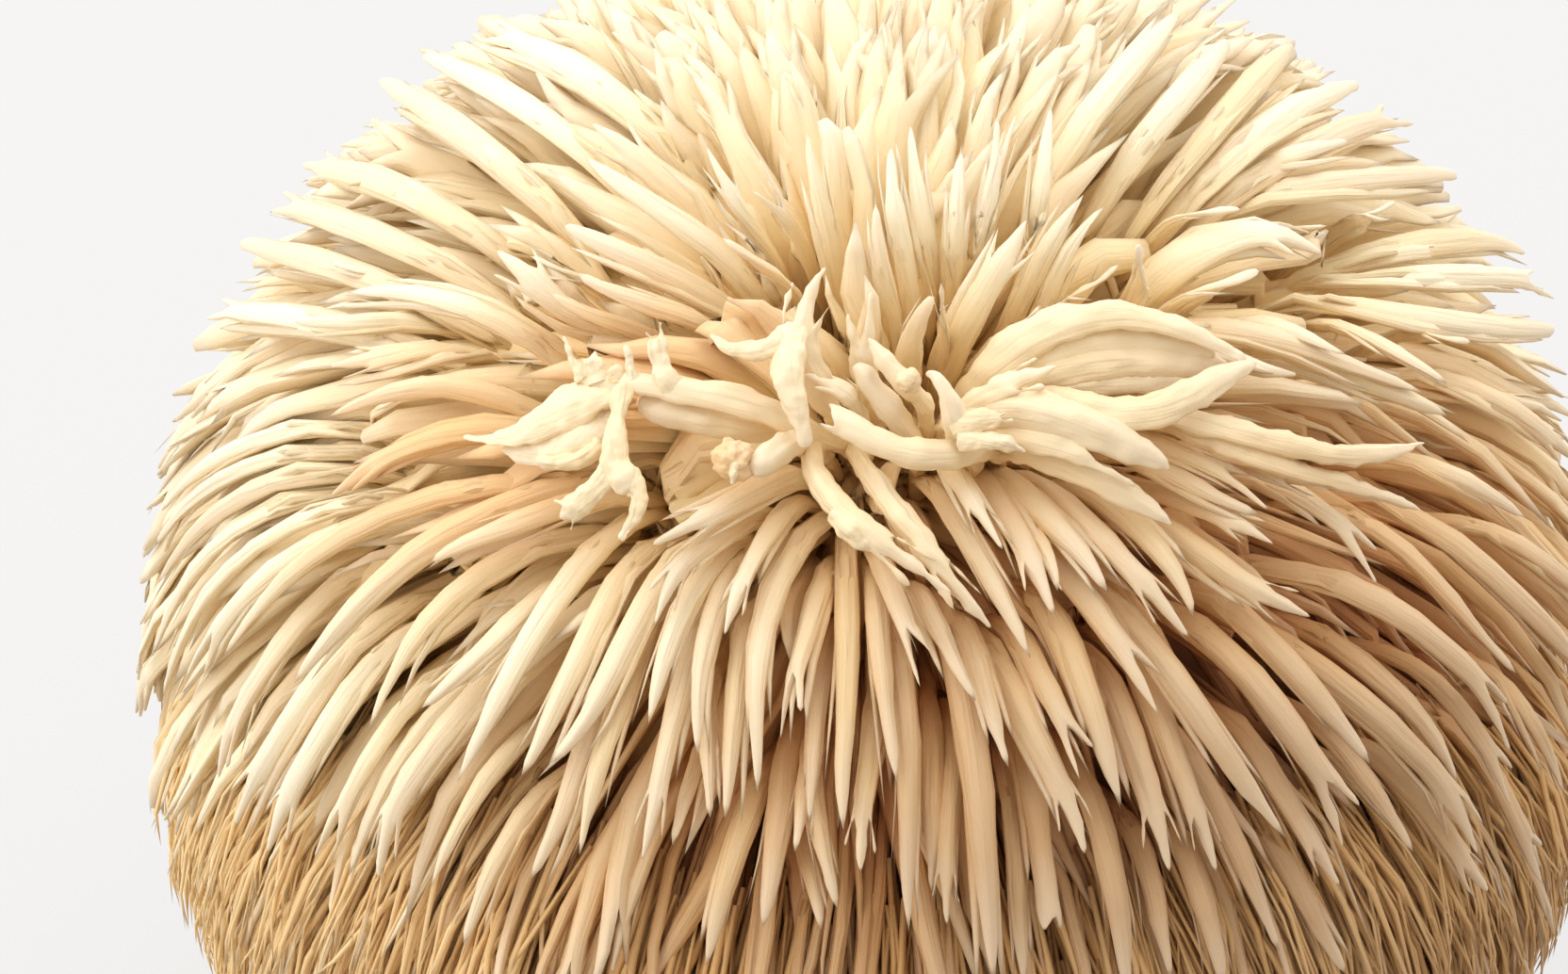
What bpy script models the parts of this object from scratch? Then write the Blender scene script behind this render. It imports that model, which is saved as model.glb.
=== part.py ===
"""A lion's mane mushroom: one fruit body, grown in one piece, cut flat where it sat on its log.

The flesh is a turned ball on a short neck. Soft spines grow all over it. They part at a crown that leans
to the front, lie back over the ball like thatch and hang towards the ground. The source keeps them as
locks, each standing for the few spines that lie together, and joins them to the flesh in one closed solid.
The broad, torn spines that lie across the crown have a lock each.

Metres, +Z up. The origin is the middle of the cut face, and the crown leans towards -Y.
"""

import math
import random

import bmesh
import bpy
from mathutils import Matrix, Vector

# Driving dimensions
WIDTH = 0.120  # across the tips of the spines
CENTRE_HEIGHT = 0.054  # of the ball's centre above the cut face
FLESH_RADIUS = 0.0485  # of the ball, up to the layer where the spines lie closed
CUT_RADIUS = 0.025  # of the flat cut face
NECK_HEIGHT = 0.014  # where the neck runs into the ball
CROWN_LEAN = math.radians(29)  # of the crown forward from straight up
CROWN_TURN = math.radians(-4)  # of the crown to the left of the front
PROFILE_STEPS = 12  # down the ball's profile
TURN_STEPS = 28  # round the ball
FLESH_COLOUR = (0.86, 0.73, 0.52)
FLESH_ROUGHNESS = 0.6

# Locks of spines
LOCK_COUNT = 150  # over the whole ball, before those at the neck are left out
LOCK_SIDES = 5
LOCK_GIRTHS = {0.0: 1.0, 0.3: 0.95, 0.62: 0.7, 1.0: 0.12}  # share of its length to share of its width
LOCK_WIDTH = 0.0125  # across a lock, at its root
LOCK_FLATNESS = 0.62  # thickness over width
LOCK_SWEEP = math.radians(31)  # how far round the ball a lock reaches
SWEEP_CURVE = 1.15  # above 1, a lock swings more towards its tip
RISE_CURVE = 1.9  # above 1, a lock rises more near its root
CROWN_SPREAD = math.radians(38)  # the locks nearer to the crown than this stand up more
UPRIGHT_SHARE = 0.45  # of the sweep, for a lock right at the crown
LOWEST_ROOT = math.radians(-52)  # a root's least height angle, seen from the ball's centre
ROOT_DEPTH = 0.006  # how far a root starts under the flesh
CLOSED_SHARE = 0.7  # of a lock's length, closed to the flesh below it; the rest is free
CLOSED_DEPTH = 0.001  # how far the closed side goes under the flesh
FLOOR_GAP = 0.0025  # between the lowest tips and the cut face's plane
DROOP = 1.15  # pull of the ground on a lock's lie, against the push away from the crown
DROOP_CURVE = 1.5  # above 1, the pull stays weak near the crown
FULL_DROOP = math.radians(75)  # from the crown, where the pull is at its full

# The broad, torn spines across the crown. Each has its width, and its route as degrees from the crown: to
# the right and down the front, as someone who faces the crown sees them.
CROWN_LOCKS = {
    "left_arm": (0.0045, ((-1, 3), (-7, 2), (-12, 2), (-17, 1), (-21, 1))),
    "left_sheet": (0.0070, ((-9, 4), (-15, 3), (-19, 4), (-23, 5), (-27, 4))),
    "hanging_scrap": (0.0035, ((-15, -1), (-15, 2), (-16, 5), (-15, 9), (-14, 13))),
    "standing_clump": (0.0050, ((-1, 3), (-3, 1), (-4, -1), (-4, -3), (-2, -6))),
    "clump_end": (0.0040, ((-5, -5), (-4, -2), (-4, 1), (-4, 4), (-3, 7))),
    "bow": (0.0040, ((12, 3), (8, 5), (5, 7), (1, 6), (-4, 3))),
    "hook": (0.0035, ((10, 6), (8, 5), (6, 3), (6, 1), (4, 0))),
    "lumpy_drop": (0.0040, ((-3, 2), (-3, 7), (-1, 11), (3, 13), (8, 16))),
    "slanting_drop": (0.0035, ((0, 3), (2, 8), (5, 12), (8, 16), (11, 18))),
    "lobe": (0.0075, ((5, 2), (10, 2), (14, 3), (18, 5), (22, 7))),
    "tongue": (0.0050, ((8, 0), (14, 2), (19, 2), (23, 0), (28, -4))),
    "leaf": (0.0080, ((6, -2), (12, -4), (17, -5), (22, -4), (27, -4))),
    "long_curve": (0.0045, ((18, 0), (24, 2), (30, 3), (36, 2), (42, -1))),
}
CROWN_GIRTHS = {0.0: 0.8, 0.3: 1.0, 0.7: 0.9, 1.0: 0.25}
CROWN_TIP_RADIUS = 0.062  # they lie on top of the others
CROWN_RISE_CURVE = 5.0  # they rise near their roots, out of the gap of the parting

# How much the locks differ
TWIST = 0.22  # either way, in radians, of a lock's lie
SWEEP_RANGE = (0.8, 1.15)
WIDTH_RANGE = (0.85, 1.1)
TIP_DEPTH = 0.0025  # the most that a tip stays below the others
SEED = 5

BALL_CENTRE = Vector((0.0, 0.0, CENTRE_HEIGHT))
TIP_RADIUS = WIDTH / 2
TANGENT_STEP = 0.02  # of a lock's length, for reading its direction
GOLDEN_ANGLE = math.pi * (3 - math.sqrt(5))
CROWN = Vector((
    math.sin(CROWN_LEAN) * math.sin(CROWN_TURN),
    -math.sin(CROWN_LEAN) * math.cos(CROWN_TURN),
    math.cos(CROWN_LEAN),
))  # from the ball's centre to where the spines part


def clear_scene():
    for obj in list(bpy.data.objects):
        bpy.data.objects.remove(obj, do_unlink=True)


def collection(name):
    made = bpy.data.collections.new(name)
    bpy.context.scene.collection.children.link(made)
    return made


def flesh_material():
    made = bpy.data.materials.new("mushroom_flesh")
    made.use_nodes = True
    shader = made.node_tree.nodes["Principled BSDF"]
    shader.inputs["Base Color"].default_value = (*FLESH_COLOUR, 1.0)
    shader.inputs["Roughness"].default_value = FLESH_ROUGHNESS
    shader.inputs["Metallic"].default_value = 0.0
    return made


def ball_profile():
    """(radius, height) down the flesh's outer side, from the ball's top to the middle of the cut face."""
    top = math.pi / 2
    neck = math.asin((NECK_HEIGHT - CENTRE_HEIGHT) / FLESH_RADIUS)
    points = [(0.0, CENTRE_HEIGHT + FLESH_RADIUS)]
    for i in range(1, PROFILE_STEPS + 1):
        angle = top + (neck - top) * i / PROFILE_STEPS
        points.append((FLESH_RADIUS * math.cos(angle), CENTRE_HEIGHT + FLESH_RADIUS * math.sin(angle)))
    points.append((CUT_RADIUS, 0.0))
    points.append((0.0, 0.0))
    return points


def make_flesh(parent):
    """The ball and its neck: a profile turned about +Z."""
    points = ball_profile()
    mesh = bpy.data.meshes.new("flesh_profile")
    mesh.from_pydata([(x, 0.0, z) for x, z in points], [(i, i + 1) for i in range(len(points) - 1)], [])
    mesh.materials.append(flesh_material())
    flesh = bpy.data.objects.new("lions_mane", mesh)
    parent.objects.link(flesh)
    turn = flesh.modifiers.new("turn", "SCREW")
    turn.axis = "Z"
    turn.steps = TURN_STEPS
    turn.render_steps = TURN_STEPS
    turn.use_merge_vertices = True
    turn.merge_threshold = 0.00005
    return flesh


def lock_roots():
    """Directions from the ball's centre, spread evenly in a spiral round the crown, down to the neck."""
    to_crown = Vector((0, 0, 1)).rotation_difference(CROWN)
    for i in range(LOCK_COUNT):
        height = 1 - 2 * (i + 0.5) / LOCK_COUNT
        ring = math.sqrt(1 - height * height)
        turn = GOLDEN_ANGLE * i
        root = to_crown @ Vector((ring * math.cos(turn), ring * math.sin(turn), height))
        if math.asin(root.z) > LOWEST_ROOT:
            yield root


def lie(root):
    """The way a lock lies on the ball at this root: away from the crown, and down towards the ground."""
    away = (root * root.dot(CROWN) - CROWN).normalized()
    down = root * root.z - Vector((0, 0, 1))
    pull = DROOP * min(1.0, root.angle(CROWN) / FULL_DROOP) ** DROOP_CURVE
    return (away + down * pull).normalized()


def beside_crown(right, down):
    """The direction from the ball's centre, this many degrees off the crown."""
    front = (CROWN * CROWN.z - Vector((0, 0, 1))).normalized()
    way = CROWN.cross(front) * right + front * down
    angle = math.radians(way.length)
    return CROWN * math.cos(angle) + way.normalized() * math.sin(angle)


class Lock:
    """One lock's size and course, with the differences that growth gives it."""

    girths = LOCK_GIRTHS
    closed_share = CLOSED_SHARE

    def __init__(self, root, rng):
        upright = min(1.0, root.angle(CROWN) / CROWN_SPREAD)
        self.root = root
        self.way = Matrix.Rotation(rng.uniform(-TWIST, TWIST), 3, root) @ lie(root)
        self.sweep = LOCK_SWEEP * rng.uniform(*SWEEP_RANGE) * (UPRIGHT_SHARE + (1 - UPRIGHT_SHARE) * upright)
        self.tip_radius = TIP_RADIUS - rng.uniform(0.0, TIP_DEPTH)
        self.width = LOCK_WIDTH * rng.uniform(*WIDTH_RANGE)

    def point(self, share):
        """Of its middle line: it swings from its root along its lie and rises to the tips."""
        share = max(0.0, min(1.0, share))
        angle = self.sweep * share**SWEEP_CURVE
        start = FLESH_RADIUS - ROOT_DEPTH
        radius = start + (self.tip_radius - start) * (1 - (1 - share) ** RISE_CURVE)
        point = BALL_CENTRE + (self.root * math.cos(angle) + self.way * math.sin(angle)) * radius
        point.z = max(point.z, FLOOR_GAP)
        return point

    def surface_point(self, x, y, share):
        """The place of a corner that is at x, y on a cylinder 1 across, at this share of the length."""
        middle = self.point(share)
        along = (self.point(share + TANGENT_STEP) - self.point(share - TANGENT_STEP)).normalized()
        across = (middle - BALL_CENTRE).cross(along).normalized()
        outward = along.cross(across)
        girth = self.width * self.girths[min(self.girths, key=lambda level: abs(level - share))]
        place = middle + across * (x * girth) + outward * (y * girth * LOCK_FLATNESS)
        if y < 0 and share < self.closed_share:
            height = place - BALL_CENTRE
            place = BALL_CENTRE + height * min(1.0, (FLESH_RADIUS - CLOSED_DEPTH) / height.length)
        place.z = max(place.z, FLOOR_GAP)
        return place


class CrownLock(Lock):
    """A broad spine across the crown: free along its whole length, on a route of its own."""

    girths = CROWN_GIRTHS
    closed_share = 0.0

    def __init__(self, width, route):
        self.width = width
        self.route = [beside_crown(right, down) for right, down in route]

    def point(self, share):
        share = max(0.0, min(1.0, share))
        stage = min(int(share * (len(self.route) - 1)), len(self.route) - 2)
        part = share * (len(self.route) - 1) - stage
        start = FLESH_RADIUS - ROOT_DEPTH
        radius = start + (CROWN_TIP_RADIUS - start) * (1 - (1 - share) ** CROWN_RISE_CURVE)
        return BALL_CENTRE + self.route[stage].lerp(self.route[stage + 1], part).normalized() * radius


def make_lock(name, lock, parent):
    """A cylinder cut into lengths, whose corners are then set along the lock's course."""
    shape = bmesh.new()
    bmesh.ops.create_cone(
        shape, cap_ends=True, segments=LOCK_SIDES, radius1=0.5, radius2=0.5, depth=1.0,
        matrix=Matrix.Translation((0, 0, 0.5)),
    )
    for level in sorted(lock.girths)[1:-1]:
        everything = shape.verts[:] + shape.edges[:] + shape.faces[:]
        bmesh.ops.bisect_plane(shape, geom=everything, plane_co=(0, 0, level), plane_no=(0, 0, 1))
    for vertex in shape.verts:
        vertex.co = lock.surface_point(*vertex.co)
    mesh = bpy.data.meshes.new(name)
    shape.to_mesh(mesh)
    shape.free()
    made = bpy.data.objects.new(name, mesh)
    made.hide_render = True
    made.display_type = "WIRE"
    parent.objects.link(made)


def join(body, locks):
    union = body.modifiers.new("join_locks", "BOOLEAN")
    union.operation = "UNION"
    union.operand_type = "COLLECTION"
    union.collection = locks
    union.solver = "EXACT"
    union.use_self = True


def main():
    clear_scene()
    rng = random.Random(SEED)
    flesh = make_flesh(collection("lions_mane_mushroom"))
    locks = collection("locks_of_spines")
    for number, root in enumerate(lock_roots()):
        make_lock(f"lock_{number}", Lock(root, rng), locks)
    for name, (width, route) in CROWN_LOCKS.items():
        make_lock(name, CrownLock(width, route), locks)
    join(flesh, locks)


main()
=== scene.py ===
"""Looks of the lion's mane mushroom: soft spines all over a ball of flesh, parted at a crown."""

import math

import bmesh
import bpy
import numpy as np
from mathutils import Matrix, Vector


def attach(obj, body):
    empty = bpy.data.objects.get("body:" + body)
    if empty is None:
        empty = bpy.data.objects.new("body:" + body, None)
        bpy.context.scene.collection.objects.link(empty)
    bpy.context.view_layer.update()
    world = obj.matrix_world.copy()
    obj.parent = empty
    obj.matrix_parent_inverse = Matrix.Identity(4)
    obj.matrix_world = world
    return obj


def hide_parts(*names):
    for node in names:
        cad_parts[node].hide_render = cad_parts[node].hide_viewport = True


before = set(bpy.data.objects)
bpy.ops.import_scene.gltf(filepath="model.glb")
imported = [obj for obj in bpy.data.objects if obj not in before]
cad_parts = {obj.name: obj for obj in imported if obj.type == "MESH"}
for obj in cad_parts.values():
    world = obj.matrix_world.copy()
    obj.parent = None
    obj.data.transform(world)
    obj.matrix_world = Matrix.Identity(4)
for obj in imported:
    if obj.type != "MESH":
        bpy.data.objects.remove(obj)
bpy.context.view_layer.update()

SOLID = "lions_mane"

# The ball of spines, in metres
BALL_CENTRE = np.array([0.0, 0.0, 0.054])
TIP_RADIUS = 0.060  # from the centre to the tips
FLESH_RADIUS = 0.043  # of the ball of flesh that the spines grow from
CUT_RADIUS = 0.025  # of the flat cut face
UP = np.array([0.0, 0.0, 1.0])

# The photograph's view
PHOTO_SIZE = (1664, 1034)
BALL_PIXEL = (927, 690)  # the middle of the round outline
BALL_PIXELS = 790  # its radius
CAMERA_ELEVATION = math.radians(40)
CAMERA_DISTANCE = 0.45
CROWN_PIXEL = (917, 425)  # where the spines part
CROWN_RADIUS = 0.050  # from the ball's centre, as far as the parting can be seen into

SEED = 20


def unit(vectors):
    return vectors / np.maximum(np.linalg.norm(vectors, axis=-1, keepdims=True), 1e-12)


PALE_WAY = tuple(unit(np.array([-0.5, 0.55, 0.66])))  # from the ball's centre to where it is palest

# ---------------------------------------------------------------- camera

FOCAL_PIXELS = BALL_PIXELS * math.sqrt(CAMERA_DISTANCE**2 - TIP_RADIUS**2) / TIP_RADIUS
VIEW_AHEAD = np.array([0.0, math.cos(CAMERA_ELEVATION), -math.sin(CAMERA_ELEVATION)])
VIEW_RIGHT = np.array([1.0, 0.0, 0.0])
VIEW_UP = np.cross(VIEW_RIGHT, VIEW_AHEAD)


def view_ray(x, y):
    """The way from the camera through this pixel of the photograph."""
    right = (x - PHOTO_SIZE[0] / 2) / FOCAL_PIXELS
    down = (y - PHOTO_SIZE[1] / 2) / FOCAL_PIXELS
    return unit(VIEW_AHEAD + VIEW_RIGHT * right - VIEW_UP * down)


CAMERA_PLACE = BALL_CENTRE - view_ray(*BALL_PIXEL) * CAMERA_DISTANCE


def place_at_pixel(x, y, radius):
    """Where the ray through a pixel first meets a ball of this radius round the ball's centre."""
    ray = view_ray(x, y)
    back = CAMERA_PLACE - BALL_CENTRE
    along = back @ ray
    inside = max(along * along - back @ back + radius * radius, 0.0)
    return CAMERA_PLACE + ray * (-along - math.sqrt(inside))


CROWN = unit(place_at_pixel(*CROWN_PIXEL, CROWN_RADIUS) - BALL_CENTRE)


def add_camera():
    data = bpy.data.cameras.new("camera")
    data.lens = FOCAL_PIXELS * data.sensor_width / PHOTO_SIZE[0]
    data.clip_start = 0.01
    data.clip_end = 20
    camera = bpy.data.objects.new("camera", data)
    axes = np.stack([VIEW_RIGHT, VIEW_UP, -VIEW_AHEAD, CAMERA_PLACE], axis=1)
    camera.matrix_world = Matrix((*axes.tolist(), (0, 0, 0, 1)))
    bpy.context.scene.collection.objects.link(camera)
    bpy.context.scene.camera = camera


# ---------------------------------------------------------------- how the spines lie

DROOP = 2.87  # pull of the ground on a spine, against the push away from the crown
DROOP_CURVE = 2.61  # above 1, the pull stays weak near the crown
FULL_DROOP = math.radians(60)  # from the crown, where the pull is at its full
STANDING = math.radians(26)  # nearer to the crown than this, spines stand up more
TIP_SLOPE = math.radians(5)  # of a spine at its tip, against the ball's surface
STEEP_SLOPE = math.radians(30)  # of a tip behind the crown, where spines stand up like petals
SLOPE_GAIN = math.radians(57)  # how much steeper it is SLOPE_LENGTH nearer its root
SLOPE_LENGTH = 0.034
SLOPE_CURVE = 1.1
STEEPEST = math.radians(85)
STANDING_UP = (0.02, 0.42)  # in ball radii above the crown, where spines begin to stand and where all do
PATH_POINTS = 15  # along a spine
TRACE_STEP = 0.0015
TRACE_STEPS = 30
FLOOR_GAP = 0.0012  # the least height of a spine's middle line


def from_crown(units):
    """Angle between these directions and the crown's."""
    return np.arccos(np.clip(units @ CROWN, -1, 1))


def ramp(low, high, values):
    """0 at low, 1 at high, eased. Low may be the greater."""
    share = np.clip((values - low) / (high - low), 0, 1)
    return share * share * (3 - 2 * share)


def behind_crown(units):
    """1 above the crown, where the spines stand, 0 round it and below."""
    up_slope = unit(UP - CROWN * CROWN[2])
    return ramp(*STANDING_UP, units @ up_slope)


def lie(units):
    """The way the spines lie there: away from the crown, and down towards the ground."""
    away = unit(units * (units @ CROWN)[..., None] - CROWN)
    down = units * units[..., 2:] - UP
    pull = DROOP * np.minimum(1, from_crown(units) / FULL_DROOP) ** DROOP_CURVE
    return unit(away + down * pull[..., None])


def turned(ways, units, angles):
    """Ways along the surface, turned about its normal."""
    return ways * np.cos(angles)[:, None] + np.cross(units, ways) * np.sin(angles)[:, None]


def trace_back(tips, strays):
    """Paths from the flesh out to these tips, as PATH_POINTS points each."""
    place = tips - BALL_CENTRE
    tip_slope = TIP_SLOPE + (STEEP_SLOPE - TIP_SLOPE) * behind_crown(unit(place))
    trail = [place]
    for step in range(TRACE_STEPS):
        units = unit(place)
        slope = tip_slope + SLOPE_GAIN * (step * TRACE_STEP / SLOPE_LENGTH) ** SLOPE_CURVE
        slope = np.minimum(slope, STEEPEST)
        lean = ramp(0, STANDING, from_crown(units)) * np.cos(slope)
        ways = turned(lie(units), units, strays * (1 - step / TRACE_STEPS))
        place = place - unit(units * np.sin(slope)[:, None] + ways * lean[:, None]) * TRACE_STEP
        trail.append(place)
    trail = np.stack(trail, axis=1)
    radii = np.linalg.norm(trail, axis=2)
    last = np.where(radii < FLESH_RADIUS, np.arange(TRACE_STEPS + 1), TRACE_STEPS).min(axis=1)
    share = np.linspace(1, 0, PATH_POINTS)[None] * last[:, None]
    low = np.minimum(share.astype(int), TRACE_STEPS - 1)
    rows = np.arange(len(tips))[:, None]
    part = (share - low)[..., None]
    return BALL_CENTRE + trail[rows, low] * (1 - part) + trail[rows, low + 1] * part


# ---------------------------------------------------------------- room for each spine

SETTLE_ROUNDS = 26
PUSH = 0.55  # of an overlap, taken back each round
STIFFNESS = 0.3
SPINE_REACH = 0.0026  # the widest spine, for finding neighbours
CLOSENESS = 0.86  # neighbours may grow into each other by the rest
COVERED = 0.85  # of their mean width, nearer than which one passes under the other
LAYING = 0.8  # of their mean width, how far below it passes
NO_LIMIT = 1.0  # farther out than any spine
LIMIT_ROUNDS = 5  # between two looks at what lies above
FIRM_ROOT = 0.25  # of a spine's length, over which it gets loose
SUNK_ROOT = 0.001  # how deep in the flesh a root may lie
AFLOAT = 0.3  # of a spine's width, how much higher than that it lies farther out
AFLOAT_RISE = 6  # after this part of its length, a sixth


def neighbours(points, reach):
    """Pairs of points up to about reach apart, found by sorting them into cells."""
    cell = np.floor(points / reach).astype(np.int64)
    cell -= cell.min(axis=0) - 1
    size = cell.max(axis=0) + 2
    key = (cell[:, 0] * size[1] + cell[:, 1]) * size[2] + cell[:, 2]
    order = np.argsort(key, kind="stable")
    key = key[order]
    index = np.arange(len(key))
    steps = [(x, y, z) for x in (0, 1) for y in (-1, 0, 1) for z in (-1, 0, 1)]
    for step in steps:
        if step < (0, 0, 0):
            continue
        offset = (step[0] * size[1] + step[1]) * size[2] + step[2]
        if offset:
            first = np.searchsorted(key, key + offset, "left")
        else:
            first = index + 1
        last = np.searchsorted(key, key + offset, "right")
        for ahead in range(int((last - first).max())):
            has = first + ahead < last
            yield order[has], order[(first + ahead)[has]]


def pressed_under(paths, thick, fixed, fixed_thick):
    """How far out each point of these paths may lie, to pass below the fixed points."""
    free = paths.reshape(-1, 3) - BALL_CENTRE
    laid = fixed - BALL_CENTRE
    radii = np.linalg.norm(laid, axis=1)
    flat = TIP_RADIUS * unit(np.concatenate([free, laid]))
    wide = np.concatenate([thick, fixed_thick])
    limit = np.full(len(free), NO_LIMIT)
    for a, b in neighbours(flat, SPINE_REACH):
        low, high = np.minimum(a, b), np.maximum(a, b)
        mixed = (low < len(free)) & (high >= len(free))
        low, high = low[mixed], high[mixed]
        want = (wide[low] + wide[high]) / 2
        near = np.linalg.norm(flat[low] - flat[high], axis=1) < want * COVERED
        low, high, want = low[near], high[near], want[near]
        np.minimum.at(limit, low, radii[high - len(free)] - want * LAYING)
    return limit.reshape(paths.shape[:2])


def settle(paths, widths, tip_radii, fixed, fixed_thick):
    """Moves the spines apart until they lie beside and on each other, and below the fixed ones."""
    count, points = paths.shape[:2]
    share = np.linspace(0, 1, points)
    loose = np.minimum(1, share / FIRM_ROOT)[None, :, None]
    steps = np.linalg.norm(np.diff(paths, axis=1), axis=2)
    thick = (widths[:, None] * girth_at(share)[None]).ravel()
    all_thick = np.concatenate([thick, fixed_thick])
    spine = np.concatenate([np.repeat(np.arange(count), points), np.full(len(fixed), -1)])
    total = count * points + len(fixed)
    for turn in range(SETTLE_ROUNDS):
        if turn % LIMIT_ROUNDS == 0:
            limit = pressed_under(paths, thick, fixed, fixed_thick)
        flat = np.concatenate([paths.reshape(-1, 3), fixed])
        push = np.zeros((3, total))
        for a, b in neighbours(flat, SPINE_REACH):
            apart = flat[a] - flat[b]
            gap = np.maximum(np.linalg.norm(apart, axis=1), 1e-6)
            want = (all_thick[a] + all_thick[b]) * (CLOSENESS / 2)
            close = (gap < want) & (spine[a] != spine[b])
            a, b = a[close], b[close]
            move = apart[close] * ((want - gap) / gap * PUSH / 2)[close, None]
            for axis in range(3):
                push[axis] += np.bincount(a, move[:, axis], total) - np.bincount(b, move[:, axis], total)
        paths = paths + push.T[:count * points].reshape(paths.shape) * loose
        paths[:, 1:-1] += STIFFNESS * ((paths[:, :-2] + paths[:, 2:]) / 2 - paths[:, 1:-1])
        for point in range(1, points):
            way = unit(paths[:, point] - paths[:, point - 1])
            paths[:, point] = paths[:, point - 1] + way * steps[:, point - 1, None]
        away = paths - BALL_CENTRE
        radii = np.linalg.norm(away, axis=2)
        most = tip_radii[:, None] - widths[:, None] * girth_at(share)[None] / 2
        rise = np.minimum(1, share * AFLOAT_RISE)[None]
        least = FLESH_RADIUS + AFLOAT * widths[:, None] * rise - SUNK_ROOT
        most = np.maximum(np.minimum(most, limit), least)
        paths = BALL_CENTRE + away * (np.clip(radii, least, most) / radii)[..., None]
        paths[..., 2] = np.maximum(paths[..., 2], FLOOR_GAP)
    return paths


# ---------------------------------------------------------------- shapes of spines

SPINE_SIDES = 8
FLUTES = (1.1, 0.86, 1.0, 0.86, 1.05, 0.86, 0.95, 0.86)  # how far out each corner stands
HAIR_SIDES = 4
GIRTHS = ((0, 0.42), (0.2, 0.86), (0.42, 1.0), (0.6, 0.98), (0.75, 0.78), (0.88, 0.44))
TIP_GIRTH = (1.0, 0.2)
EVEN_GIRTHS = tuple((level / 13, 1.0) for level in range(12))  # where the route gives the widths
TOUCHING = 1e-4  # closer than this counts as the same, in a shape 1 long and 1 wide


def girth_at(share):
    levels, girths = zip(*GIRTHS, TIP_GIRTH)
    return np.interp(share, levels, girths)


BAKE_LENGTH = 0.87  # of a spine's cell in the bake's map; the rest is for its lid and its foot
LID_SIZE = (0.4, 0.1)
LID_MIDDLE = (0.7, 0.94)
FOOT_MIDDLE = (0.25, 0.94)


class SpineShape:
    """A spine 1 wide and 1 long as arrays: corners, faces, and each face corner's place on it."""

    def __init__(self, piece):
        mesh = piece.data
        self.points = np.array([vertex.co for vertex in mesh.vertices])
        self.corners = np.array([loop.vertex_index for loop in mesh.loops])
        self.starts = np.array([face.loop_start for face in mesh.polygons])
        sizes = [face.loop_total for face in mesh.polygons]
        centres = np.repeat([face.center[0] for face in mesh.polygons], sizes)
        corner = self.points[self.corners]
        around = np.arctan2(corner[:, 0], corner[:, 1]) / (2 * np.pi) + 0.5
        seam = (np.abs(corner[:, 0]) < TOUCHING) & (corner[:, 1] < 0)
        around[seam] = (centres[seam] > 0).astype(float)
        self.around = around
        self.along = np.clip(corner[:, 2], 0, 1)
        self.bake = np.stack([around, self.along * BAKE_LENGTH], 1)
        tall = [np.ptp(self.along[start:start + size]) for start, size in zip(self.starts, sizes)]
        lids = np.repeat(np.array(tall) < TOUCHING, sizes)
        self.bake[lids] = corner[lids, :2] * LID_SIZE + LID_MIDDLE
        feet = lids & (self.along < TOUCHING)
        self.bake[feet] = corner[feet, :2] * LID_SIZE + FOOT_MIDDLE
        bpy.data.objects.remove(piece, do_unlink=True)


def start_spine(levels, sides=SPINE_SIDES):
    """A fluted stalk up to the last of these levels, left open and its rim selected in edit mode."""
    bpy.ops.object.select_all(action="DESELECT")
    bpy.ops.mesh.primitive_circle_add(vertices=sides, radius=levels[0][1] / 2, fill_type="NOTHING")
    piece = bpy.context.active_object
    bpy.ops.object.mode_set(mode="EDIT")
    bpy.ops.mesh.select_mode(type="VERT")
    bpy.ops.mesh.select_all(action="SELECT")
    shape = bmesh.from_edit_mesh(piece.data)
    for number, vertex in enumerate(shape.verts):
        vertex.co *= FLUTES[number % len(FLUTES)]
    bmesh.update_edit_mesh(piece.data)
    for (low, girth), (high, next_girth) in zip(levels, levels[1:]):
        grow_rim((0, 0, high - low), next_girth / girth, (0, 0, high))
    return piece


def grow_rim(move, scale, centre):
    bpy.ops.mesh.extrude_region_move(TRANSFORM_OT_translate={"value": move})
    if isinstance(scale, tuple):
        bpy.ops.transform.resize(value=scale, center_override=centre)
    else:
        bpy.ops.transform.resize(value=(scale, scale, 1), center_override=centre)


def end_spine(piece):
    """Closes the foot and gives the spine back as arrays."""
    bpy.ops.mesh.select_mode(type="VERT")
    bpy.ops.mesh.select_all(action="DESELECT")
    shape = bmesh.from_edit_mesh(piece.data)
    for vertex in shape.verts:
        vertex.select_set(vertex.co.z < TOUCHING)
    bmesh.update_edit_mesh(piece.data)
    bpy.ops.mesh.edge_face_add()
    bpy.ops.mesh.select_all(action="SELECT")
    bpy.ops.mesh.normals_make_consistent(inside=False)
    bpy.ops.object.mode_set(mode="OBJECT")
    return SpineShape(piece)


def select_faces(piece, chosen):
    """Selects the faces for which chosen(centre) holds, and nothing else."""
    bpy.ops.mesh.select_mode(type="FACE")
    bpy.ops.mesh.select_all(action="DESELECT")
    shape = bmesh.from_edit_mesh(piece.data)
    for face in shape.faces:
        face.select_set(chosen(face.calc_center_median()))
    bmesh.update_edit_mesh(piece.data)


def split_rim(piece, height, cuts):
    """Closes the rim at this height with a lid, cut from corner to corner at each x of cuts."""
    bpy.ops.mesh.edge_face_add()
    for cut in cuts:
        bpy.ops.mesh.select_mode(type="VERT")
        bpy.ops.mesh.select_all(action="DESELECT")
        shape = bmesh.from_edit_mesh(piece.data)
        for vertex in shape.verts:
            on_rim = abs(vertex.co.z - height) < TOUCHING
            vertex.select_set(on_rim and abs(vertex.co.x - cut) < 1e-3)
        bmesh.update_edit_mesh(piece.data)
        bpy.ops.mesh.vert_connect()


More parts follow.
